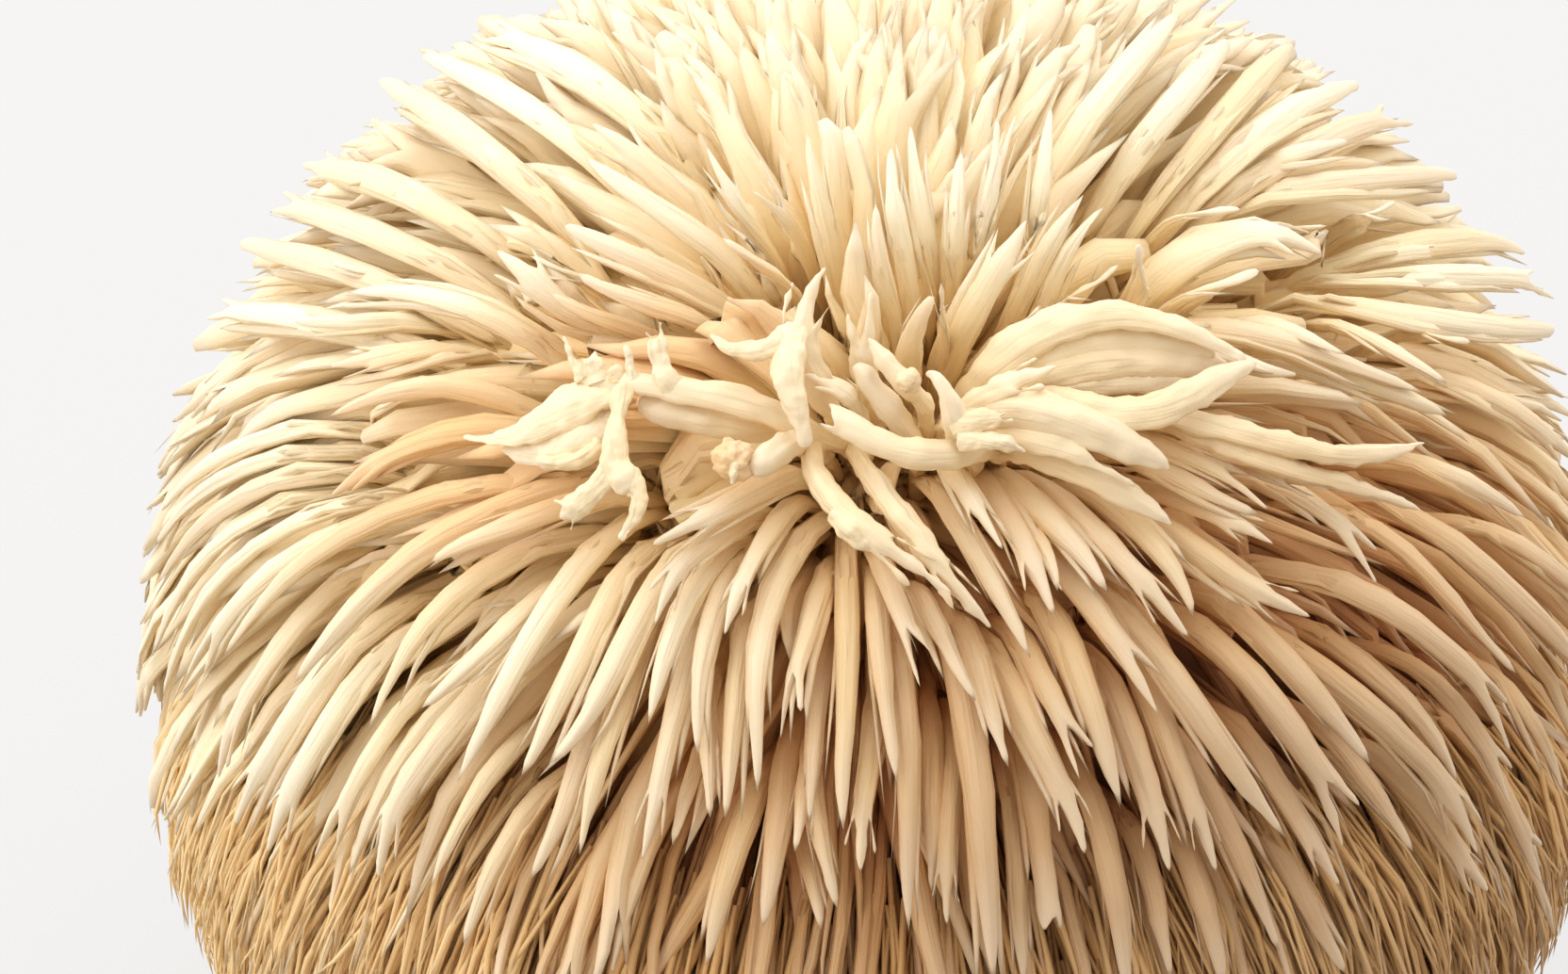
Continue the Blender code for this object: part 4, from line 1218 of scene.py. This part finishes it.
def evenly(places, widths):
    """A route's places and widths at PATH_POINTS even steps along it, its corners rounded off."""
    length = np.concatenate([[0], np.cumsum(np.linalg.norm(np.diff(places, axis=0), axis=1))])
    steps = np.linspace(0, length[-1], PATH_POINTS)
    even = np.stack([np.interp(steps, length, places[:, axis]) for axis in range(3)], 1)
    even[1:-1] = even[1:-1] / 2 + (even[:-2] + even[2:]) / 4
    return even, np.interp(steps, length, widths)


class Traced:
    """The traced spines as arrays."""

    def __init__(self):
        self.paths = []
        self.widths = []
        self.flats = []
        self.endings = []
        self.crown = []

    def add(self, ending, flat, rows, crown):
        rows = np.array(rows, float)
        places = np.array([place_at_pixel(x, y, radius / 1000) for x, y, radius in rows[:, :3]])
        widths = metres_across(rows[:, 3], places)
        if rows[0, 2] < ROOTED_BELOW:
            places, widths = rooted(places, widths)
        places, widths = evenly(places, widths)
        self.paths.append(places)
        self.widths.append(widths)
        self.flats.append(flat)
        self.endings.append(ending)
        self.crown.append(crown)

    def add_long(self, flat, ending, width, root, tip, *pixels):
        share = np.linspace(0, 1, len(pixels))
        radii = root + (tip - root) * np.sin(share * math.pi / 2) ** RISE_CURVE
        rows = [(x, y, radius, width) for (x, y), radius in zip(pixels, radii)]
        self.add(ending, flat, rows, False)

    def finish(self):
        self.paths = np.array(self.paths)
        self.widths = np.array(self.widths)
        self.flats = np.array(self.flats)
        self.endings = np.array(self.endings)
        self.crown = np.array(self.crown)

    def thick(self):
        girths = girth_at(np.linspace(0, 1, PATH_POINTS))[None]
        return self.widths * np.where(self.crown[:, None], 1.0, girths)


def trace_spines():
    traced = Traced()
    for ending, flat, rows in CROWN_PIECES.values():
        traced.add(ending, flat, rows, True)
    for route in LONG_ROUTES:
        traced.add_long(LONG_FLATNESS, *route)
    for route in UPPER_LOBES:
        traced.add_long(LOBE_FLATNESS, *route)
    traced.finish()
    return traced


def add_traced(traced, long_shapes, crown_shapes, material, crown_material, rng):
    tints = rng.random(len(traced.endings))
    tints = np.where(traced.crown, CROWN_TINT + (1 - CROWN_TINT) * tints, tints)
    turns = rng.normal(0, TRACED_TURN, len(traced.endings))
    parts = (
        ("spines_followed", ~traced.crown, long_shapes, material, SPINE_SMOOTHING, SPINE_CRUMPLE),
        ("crown_pieces", traced.crown, crown_shapes, crown_material, CROWN_SMOOTHING, CROWN_CRUMPLE),
    )
    for name, group, shapes, finish, smoothing, crumpling in parts:
        thatch = Thatch()
        for ending, shape in shapes.items():
            chosen = group & (traced.endings == ending)
            if chosen.any():
                bent = bend_shape(
                    shape, traced.paths[chosen], traced.widths[chosen], traced.flats[chosen],
                    turns[chosen], turns[chosen],
                )
                thatch.add(shape, bent, tints[chosen])
        piece = thatch.piece(name, finish)
        smooth = piece.modifiers.new("smooth", "SUBSURF")
        smooth.levels = smoothing
        smooth.render_levels = smoothing
        crumple(piece, *crumpling)
        place(piece)


def add_slivers(traced, shapes, material, rng):
    """Slivers that split off at the sides of the followed spines, towards their ends."""
    followed = np.repeat(np.flatnonzero(~traced.crown), SLIVERS)
    count = len(followed)
    share = np.linspace(0, 1, PATH_POINTS)
    at = share * rng.uniform(*SLIVER_REACH, (count, 1)) * (PATH_POINTS - 1)
    low = np.minimum(at.astype(int), PATH_POINTS - 2)
    part = (at - low)[..., None]
    whole = traced.paths[followed]
    start = np.take_along_axis(whole, low[..., None], axis=1)
    after = np.take_along_axis(whole, low[..., None] + 1, axis=1)
    paths = start * (1 - part) + after * part
    outward = unit(paths - BALL_CENTRE)
    side = unit(np.cross(outward, after - start))
    width = traced.widths[followed].mean(axis=1)
    leaning = np.tile(np.linspace(-1, 1, SLIVERS), count // SLIVERS) * rng.uniform(*SLIVER_LEAN, count)
    parting = (SLIVER_CLOSE + (1 - SLIVER_CLOSE) * share**2)[None, :, None]
    paths = paths + side * (leaning * width)[:, None, None] * parting
    paths = paths - outward * (SLIVER_DEPTH * width)[:, None, None]
    widths = width * rng.uniform(*SLIVER_GIRTH, count)
    names = rng.integers(0, len(SLIVER_ENDINGS), count)
    thatch = Thatch()
    for number, name in enumerate(SLIVER_ENDINGS):
        chosen = names == number
        turns = rng.normal(0, SLIVER_TWIST, chosen.sum())
        flats = np.full(len(turns), SLIVER_FLATNESS)
        bent = bend_shape(shapes[name], paths[chosen], widths[chosen], flats, turns, turns)
        thatch.add(shapes[name], bent, rng.random(chosen.sum()))
    place(thatch.piece("spines_split", material))


def crumple(piece, size, depth):
    """Makes the surface uneven, with lumps of this size and depth."""
    lumps = bpy.data.textures.new("lumps", "CLOUDS")
    lumps.noise_scale = size
    lumps.noise_depth = 2
    uneven = piece.modifiers.new("uneven", "DISPLACE")
    uneven.texture = lumps
    uneven.texture_coords = "LOCAL"
    uneven.strength = depth
    uneven.mid_level = 0.5


def add_knob(material):
    """The crumpled end of the short spine that stands over the crown's gap."""
    bpy.ops.object.select_all(action="DESELECT")
    middle = place_at_pixel(*KNOB_PIXEL, KNOB_RADIUS)
    size = metres_across(KNOB_PIXELS / 2, middle)
    bpy.ops.mesh.primitive_uv_sphere_add(
        segments=64, ring_count=40, radius=size, location=tuple(middle),
    )
    knob = bpy.context.active_object
    bpy.ops.object.transform_apply(location=True, rotation=False, scale=False)
    knob.name = "crumpled_knob"
    knob.data.uv_layers[0].name = "course"
    bpy.ops.object.shade_smooth()
    knob.data.materials.append(material)
    crumple(knob, *KNOB_CRUMPLE)
    place(knob)


# ---------------------------------------------------------------- materials


class Value:
    """A number or vector in a node tree, on which Python's operators add nodes."""

    def __init__(self, nodes, socket):
        self.nodes = nodes
        self.socket = socket

    def __add__(self, other):
        return self.nodes.maths("ADD", self, other)

    def __radd__(self, other):
        return self.nodes.maths("ADD", other, self)

    def __sub__(self, other):
        return self.nodes.maths("SUBTRACT", self, other)

    def __rsub__(self, other):
        return self.nodes.maths("SUBTRACT", other, self)

    def __mul__(self, other):
        return self.nodes.maths("MULTIPLY", self, other)

    def __rmul__(self, other):
        return self.nodes.maths("MULTIPLY", other, self)

    def __truediv__(self, other):
        return self.nodes.maths("DIVIDE", self, other)


class Nodes:
    """A node tree under construction."""

    def __init__(self, tree):
        self.tree = tree

    def node(self, kind, settings, inputs):
        """Adds a node with its settings, then its sockets' values or links. Returns its outputs."""
        made = self.tree.nodes.new(kind)
        for name, value in settings.items():
            if name == "stops":
                self.set_stops(made.color_ramp, value)
            else:
                setattr(made, name, value)
        for socket, value in inputs.items():
            if isinstance(value, Value):
                self.tree.links.new(value.socket, made.inputs[socket])
            elif value is not None:
                made.inputs[socket].default_value = value
        return [Value(self, socket) for socket in made.outputs]

    def set_stops(self, colours, stops):
        for index, (place, colour) in enumerate(stops):
            if index < 2:
                stop = colours.elements[index]
                stop.position = place
            else:
                stop = colours.elements.new(place)
            stop.color = (*colour, 1.0)

    def maths(self, operation, first, second=None):
        return self.node("ShaderNodeMath", {"operation": operation}, {0: first, 1: second})[0]

    def vectors(self, operation, first, second=None):
        """Both outputs of vector maths: the vector and the number."""
        return self.node("ShaderNodeVectorMath", {"operation": operation}, {0: first, 1: second})

    def along(self, vector, way):
        """How far the vector reaches in this way."""
        return self.vectors("DOT_PRODUCT", vector, way)[1]

    def noise(self, vector, scale, detail):
        sockets = {"Vector": vector, "Scale": scale, "Detail": detail}
        return self.node("ShaderNodeTexNoise", {}, sockets)[0]

    def ranged(self, value, low, high, to_low=0.0, to_high=1.0):
        ends = {"From Min": low, "From Max": high, "To Min": to_low, "To Max": to_high}
        return self.node("ShaderNodeMapRange", {"clamp": True}, {"Value": value, **ends})[0]

    def stepped(self, value, stops):
        return self.node("ShaderNodeValToRGB", {"stops": stops}, {0: value})[0]

    def mixed(self, share, first, second):
        return self.node("ShaderNodeMix", {"data_type": "RGBA"}, {0: share, 6: first, 7: second})[2]


class Finish(Nodes):
    """A material under construction."""

    def __init__(self, name, **constants):
        self.material = bpy.data.materials.new(name)
        self.material.use_nodes = True
        super().__init__(self.material.node_tree)
        self.shader = self.tree.nodes["Principled BSDF"]
        for socket, value in constants.items():
            self.shader.inputs[socket.replace("_", " ")].default_value = value

    def feed(self, socket, value):
        self.tree.links.new(value.socket, self.shader.inputs[socket])

    def place(self):
        """The place in metres, the same in every piece, as all of them stay at the frame's origin."""
        return self.node("ShaderNodeTexCoord", {}, {})[3]

    def tint(self):
        return self.node("ShaderNodeAttribute", {"attribute_name": "tint"}, {})[2]

    def from_centre(self, place):
        """The way out from the ball's centre, and its length."""
        out = self.vectors("SUBTRACT", place, tuple(BALL_CENTRE))[0]
        return out, self.vectors("LENGTH", out)[1]

    def bump(self, relief, strength, height):
        sockets = {"Strength": strength, "Distance": height, "Height": relief}
        self.feed("Normal", self.node("ShaderNodeBump", {}, sockets)[0])


FLESH_DEPTH_SHADE = (
    (0.0, (0.35, 0.08, 0.02)),
    (0.35, (0.69, 0.26, 0.07)),
    (0.62, (0.80, 0.44, 0.16)),
    (0.82, (0.84, 0.58, 0.31)),
    (1.0, (0.84, 0.69, 0.48)),
)  # colour by how far out of the flesh, up to the tips: the roots' own orange-brown, darkened deep down as painted shade between the spines
LIT_PALE_DEPTH_SHADE = (
    (0.0, (0.97, 0.64, 0.28)),
    (0.5, (0.97, 0.78, 0.46)),
    (0.72, (0.97, 0.83, 0.56)),
    (0.88, (0.96, 0.86, 0.63)),
    (1.0, (0.93, 0.86, 0.68)),
)  # the same above the crown and on the side the light falls on, painted paler there, crevices and all, as painted light
TIP_COLOUR = (0.87, 0.76, 0.60, 1.0)
YELLOW_FLESH = (0.84, 0.63, 0.31, 1.0)
PINK_FLESH = (0.78, 0.54, 0.33, 1.0)
UNDERSIDE_SHADE = (0.80, 0.42, 0.12, 1.0)  # painted shade and glow on a spine's underside, orange as if light came through it
LIT_UNDERSIDE_SHADE = (0.97, 0.72, 0.38, 1.0)  # the same on the lit side, paler as painted light
DULL_SHADED_WAY = tuple(unit(np.array([0.45, -0.85, -0.35])))  # to where the spines are brownest: partly their own browner colour, partly painted shade on the side the light reaches least
# browner flesh on that side: its own colour and painted shade
DULL_SHADED_FLESH = (0.52, 0.34, 0.20, 1.0)
TO_PARTED = unit(place_at_pixel(610, 432, TIP_RADIUS) - BALL_CENTRE)  # towards the crevices left of the crown, where a gold-orange glow is painted
PARTED_WAY = tuple(TO_PARTED)
ACROSS_PARTING = tuple(unit(np.cross(TO_PARTED, CROWN)))
# painted glow: the crevices in the parting, orange as if light came through the flesh
PARTED_CREVICE_GLOW = (0.80, 0.42, 0.13, 1.0)

# What each of these ranges runs from and to, then what its ends become, if not 0 and 1. Distances
# along a way are in ball radii.
# The first two paint light and shade: paler on the lit side as painted light, browner and darker towards
# the dull side, partly as painted shade.
LIT_PALE_SIDES = (0.5, 0.1)
DULL_SHADED_SIDES = (0.32, 0.8, 0.0, 0.92)
YELLOW_TINTS = (0.6, 1.0, 0.0, 0.5)
PINK_TINTS = (0.4, 0.0, 0.0, 0.5)
TIP_ENDS = (0.72, 1.0, 0.0, 0.75)
PARTED_BAND = (0.22, 0.08)
PARTED_NEAR = (0.86, 0.95)
PARTED_HEIGHTS = (0.6, 1.0, 0.85, 0.5)
RIB_ENDS = (0.97, 0.7)
RIB_ROUGHNESS = (0.3, 0.7, 0.45, 0.65)
MOTTLE_SCALE = 90.0  # noise scales are per metre
MOTTLE_DEPTH = 0.25  # how much the mottling shifts the colour by depth
UNDERSIDE_SHADE_SHARE = 0.65  # of the painted shade, on a spine's underside
UNDERSIDE_SHADE_LESS = 0.15  # of it, less on the lit side
RIBS = 9.0  # round a spine
RIB_BREAKS = 2.5  # along it
TINT_SHIFT = 40.0  # so that no two spines' ribs are the same
GRAIN_SCALE = 2600.0
GRAIN_DEPTH = 0.1
RIB_BUMP = (0.7, 0.0005)  # strength and height


def spine_finish(name, parted_glow_share):
    """Soft cream flesh, pale at their tips and faintly ribbed, with painted shade and light:
    orange-brown deep between the spines and on their undersides, paler on the lit side, browner on the
    dull side, and a painted orange glow in the crevices left of the crown.
    """
    flesh = Finish(name, Roughness=0.55, Specular_IOR_Level=0.3)
    place = flesh.place()
    course = flesh.node("ShaderNodeUVMap", {"uv_map": "course"}, {})[0]
    tint = flesh.tint()
    out, away = flesh.from_centre(place)
    # how far out of the flesh; the colour by it paints shade deep between the spines
    height = flesh.ranged(away, FLESH_RADIUS, TIP_RADIUS)
    # painted light and shade: paler away from the dull side, browner towards it
    dull_shading = flesh.along(out, DULL_SHADED_WAY) / TIP_RADIUS
    pale = flesh.ranged(dull_shading, *LIT_PALE_SIDES)
    uneven = height + (flesh.noise(place, MOTTLE_SCALE, 3.0) - 0.5) * MOTTLE_DEPTH
    toned = flesh.mixed(pale, flesh.stepped(uneven, FLESH_DEPTH_SHADE), flesh.stepped(uneven, LIT_PALE_DEPTH_SHADE))
    around, along, _ = flesh.node("ShaderNodeSeparateXYZ", {}, {0: course})
    facing = flesh.maths("COSINE", around * (2 * math.pi)) * 0.5 + 0.5
    toned = flesh.mixed(flesh.ranged(tint, *YELLOW_TINTS) * height, toned, YELLOW_FLESH)
    toned = flesh.mixed(flesh.ranged(tint, *PINK_TINTS) * height, toned, PINK_FLESH)
    # painted shade on the undersides, orange as if light came through the flesh
    golden = flesh.mixed(pale, UNDERSIDE_SHADE, LIT_UNDERSIDE_SHADE)
    toned = flesh.mixed(facing * (UNDERSIDE_SHADE_SHARE - UNDERSIDE_SHADE_LESS * pale), toned, golden)
    toned = flesh.mixed(flesh.ranged(dull_shading, *DULL_SHADED_SIDES), toned, DULL_SHADED_FLESH)
    toned = flesh.mixed(flesh.ranged(along, *TIP_ENDS) * height, toned, TIP_COLOUR)
    # painted glow, strongest deep in the crevices of the parting left of the crown
    near = flesh.ranged(flesh.along(out, PARTED_WAY) / TIP_RADIUS, *PARTED_NEAR)
    off = flesh.maths("ABSOLUTE", flesh.along(out, ACROSS_PARTING)) / TIP_RADIUS
    crevice_glow = flesh.ranged(off, *PARTED_BAND) * near * flesh.ranged(height, *PARTED_HEIGHTS)
    flesh.feed("Base Color", flesh.mixed(crevice_glow * parted_glow_share, toned, PARTED_CREVICE_GLOW))
    sockets = {0: around * RIBS, 1: along * RIB_BREAKS, 2: tint * TINT_SHIFT}
    ribs_place = flesh.node("ShaderNodeCombineXYZ", {}, sockets)[0]
    ribs = flesh.noise(ribs_place, 1.0, 3.0) * flesh.ranged(along, *RIB_ENDS)
    flesh.feed("Roughness", flesh.ranged(ribs, *RIB_ROUGHNESS))
    grain = flesh.noise(place, GRAIN_SCALE, 2.0)
    flesh.bump(ribs + grain * GRAIN_DEPTH, *RIB_BUMP)
    return flesh.material


# hair colour by depth: browner roots, darkened deep down as painted shade among the hairs
HAIR_DEPTH_SHADE = (
    (0.0, (0.42, 0.19, 0.06)),
    (0.45, (0.68, 0.39, 0.14)),
    (0.75, (0.85, 0.57, 0.26)),
    (1.0, (0.91, 0.67, 0.37)),
)
# painted light: paler on the lit side
LIT_PALE_HAIR = (0.99, 0.78, 0.46, 1.0)
# browner on the dull side: its own colour and painted shade
DULL_SHADED_HAIR = (0.50, 0.31, 0.16, 1.0)
HAIR_ROOT_RADIUS = FLESH_RADIUS + 0.005  # where its colours by depth begin
HAIR_TINTING = 0.25  # how much the tint shifts them
LIT_PALE_HAIR_SIDES = (0.6, 0.0, 0.0, 0.9)
DULL_SHADED_HAIR_SIDES = (0.4, 0.85, 0.0, 0.6)


def hair_finish():
    """Dry golden hair, browner deep down and towards the dull side, partly its own colour and partly
    painted shade, and paler on the lit side as painted light.
    """
    dry = Finish("dry_hair", Roughness=0.7, Specular_IOR_Level=0.25)
    out, away = dry.from_centre(dry.place())
    height = dry.ranged(away, HAIR_ROOT_RADIUS, TIP_RADIUS) + (dry.tint() - 0.5) * HAIR_TINTING
    dull_shading = dry.along(out, DULL_SHADED_WAY) / TIP_RADIUS
    pale = dry.ranged(dull_shading, *LIT_PALE_HAIR_SIDES) * (height * 0.5 + 0.5)
    toned = dry.mixed(pale, dry.stepped(height, HAIR_DEPTH_SHADE), LIT_PALE_HAIR)
    dry.feed("Base Color", dry.mixed(dry.ranged(dull_shading, *DULL_SHADED_HAIR_SIDES), toned, DULL_SHADED_HAIR))
    return dry.material


CORE_PATCHES = (0.3, 0.7)  # of the mottling, where the two colours of each pair below lie
# painted shade: dark flesh deep between the roots; painted light: golden on the lit side
SHADED_CORE = ((0.34, 0.14, 0.06), (0.50, 0.25, 0.10))
LIT_GOLDEN_CORE = ((0.86, 0.48, 0.17), (0.92, 0.60, 0.26))
CUT_FLESH = ((0.62, 0.45, 0.26), (0.80, 0.68, 0.47))
LIT_GOLDEN_CORE_SIDES = (0.1, -0.25)  # along the way to the dull side in ball radii, from none to all golden, as painted light
CUT_HEIGHTS = (0.018, 0.004)  # from none to all of the cut flesh's colour
CORE_MOTTLE_SCALE = 160.0
CORE_BUMP = (0.5, 0.0006)


def core_finish():
    """Flesh with painted shade, darker between the roots, and painted light, golden on the bright side;
    pale at the cut face.
    """
    flesh = Finish("core_flesh", Roughness=0.7, Specular_IOR_Level=0.3)
    place = flesh.place()
    mottle = flesh.noise(place, CORE_MOTTLE_SCALE, 4.0)
    deep, golden, cut = (
        flesh.stepped(mottle, tuple(zip(CORE_PATCHES, pair)))
        for pair in (SHADED_CORE, LIT_GOLDEN_CORE, CUT_FLESH)
    )
    dull_shading = flesh.along(place, DULL_SHADED_WAY) / TIP_RADIUS
    toned = flesh.mixed(flesh.ranged(dull_shading, *LIT_GOLDEN_CORE_SIDES), deep, golden)
    height = flesh.node("ShaderNodeSeparateXYZ", {}, {0: place})[2]
    flesh.feed("Base Color", flesh.mixed(flesh.ranged(height, *CUT_HEIGHTS), toned, cut))
    flesh.bump(mottle, *CORE_BUMP)
    return flesh.material


# ---------------------------------------------------------------- the ball of flesh

NECK_TOP = 0.018
# Heights and radii from there down to the cut face
NECK = ((0.010, 0.0252), (0.004, 0.0249), (0.0006, CUT_RADIUS), (0.0, CUT_RADIUS - 0.0006))
CUT_INSETS = (0.006, 0.009)


def add_core(material):
    bpy.ops.object.select_all(action="DESELECT")
    bpy.ops.mesh.primitive_uv_sphere_add(
        segments=96, ring_count=64, radius=FLESH_RADIUS, location=tuple(BALL_CENTRE),
    )
    core = bpy.context.active_object
    core.name = "flesh_core"
    bpy.ops.object.transform_apply(location=True, rotation=False, scale=False)
    bpy.ops.object.mode_set(mode="EDIT")
    bpy.ops.mesh.select_all(action="SELECT")
    bpy.ops.mesh.bisect(plane_co=(0, 0, NECK_TOP), plane_no=(0, 0, 1), clear_inner=True)
    for height, radius in NECK:
        grow_neck(core, height, radius)
    bpy.ops.mesh.edge_face_add()
    for inset in CUT_INSETS:
        bpy.ops.mesh.inset(thickness=inset)
    bpy.ops.object.mode_set(mode="OBJECT")
    bpy.ops.object.shade_smooth_by_angle(angle=math.radians(40))
    core.data.materials.append(material)
    place(core)


def grow_neck(core, height, radius):
    """Extends the open rim down to this height and out to this radius."""
    bpy.ops.mesh.extrude_region_move(TRANSFORM_OT_translate={"value": (0, 0, 0)})
    shape = bmesh.from_edit_mesh(core.data)
    for vertex in shape.verts:
        if vertex.select:
            ring = math.hypot(vertex.co.x, vertex.co.y)
            vertex.co.x *= radius / ring
            vertex.co.y *= radius / ring
            vertex.co.z = height
    bmesh.update_edit_mesh(core.data)


# ---------------------------------------------------------------- studio

SKY_WAY = (-0.35, 0.45, 0.82)  # where the sky is brightest
SKY_STOPS = (
    (0.0, (0.48, 0.36, 0.24)),
    (0.4, (0.68, 0.58, 0.45)),
    (0.6, (0.98, 0.93, 0.86)),
    (1.0, (1.45, 1.42, 1.38)),
)  # from the way opposite to it
SKY_STRENGTH = 0.93
SUNS = (
    ("high_key", (-0.5, 0.35, 1.0), 0.52, 70, (1.0, 0.98, 0.95)),
    ("left_fill", (-1.0, -0.1, 0.35), 1.15, 90, (1.0, 0.97, 0.93)),
    ("right_fill", (1.0, 0.5, 0.8), 0.9, 90, (1.0, 0.98, 0.95)),
)  # name, the way to it, strength, how wide it is in degrees, colour
FLOOR_SIZE = 6
FLOOR_COLOUR = (0.16, 0.16, 0.16, 1)
FLOOR_GLOW = 0.675


def add_studio():
    world = bpy.data.worlds.new("soft_sky")
    bpy.context.scene.world = world
    world.use_nodes = True
    sky = Nodes(world.node_tree)
    place = sky.node("ShaderNodeTexCoord", {}, {})[0]
    toward = sky.along(place, tuple(unit(np.array(SKY_WAY))))
    colour = sky.stepped(toward * 0.5 + 0.5, SKY_STOPS)
    background = sky.tree.nodes["Background"]
    sky.tree.links.new(colour.socket, background.inputs["Color"])
    background.inputs["Strength"].default_value = SKY_STRENGTH
    for sun in SUNS:
        add_sun(*sun)
    bpy.context.scene.view_settings.view_transform = "Standard"
    add_floor()


def add_sun(name, way, strength, spread, colour):
    data = bpy.data.lights.new(name, "SUN")
    data.energy = strength
    data.angle = math.radians(spread)
    data.color = colour
    light = bpy.data.objects.new(name, data)
    light.rotation_euler = Vector(way).to_track_quat("Z", "Y").to_euler()
    bpy.context.scene.collection.objects.link(light)


def add_floor():
    bpy.ops.object.select_all(action="DESELECT")
    bpy.ops.mesh.primitive_plane_add(size=FLOOR_SIZE)
    floor = bpy.context.active_object
    floor.name = "floor"
    pale = Finish("pale_floor", Roughness=1.0, Specular_IOR_Level=0.0)
    pale.shader.inputs["Base Color"].default_value = FLOOR_COLOUR
    pale.shader.inputs["Emission Color"].default_value = (1, 1, 1, 1)
    pale.shader.inputs["Emission Strength"].default_value = FLOOR_GLOW
    floor.data.materials.append(pale.material)
    floor.visible_diffuse = False


def main():
    rng = np.random.default_rng(SEED)
    add_camera()
    add_studio()
    traced = trace_spines()
    spines = Spines(rng, traced.paths.reshape(-1, 3), traced.thick().ravel())
    flesh = spine_finish("spine_flesh", 1.0)
    crown_flesh = spine_finish("crown_flesh", 0.2)
    shapes = {ending: model(GIRTHS) for ending, (model, _, _) in SPINE_SHAPES.items()}
    crown_shapes = {ending: model(EVEN_GIRTHS) for ending, model in CROWN_SHAPES.items()}
    add_spines(spines, shapes, flesh)
    add_traced(traced, shapes, crown_shapes, flesh, crown_flesh, rng)
    add_slivers(traced, shapes, flesh, rng)
    add_knob(flesh)
    add_hairs(hair_finish(), rng)
    add_core(core_finish())


main()
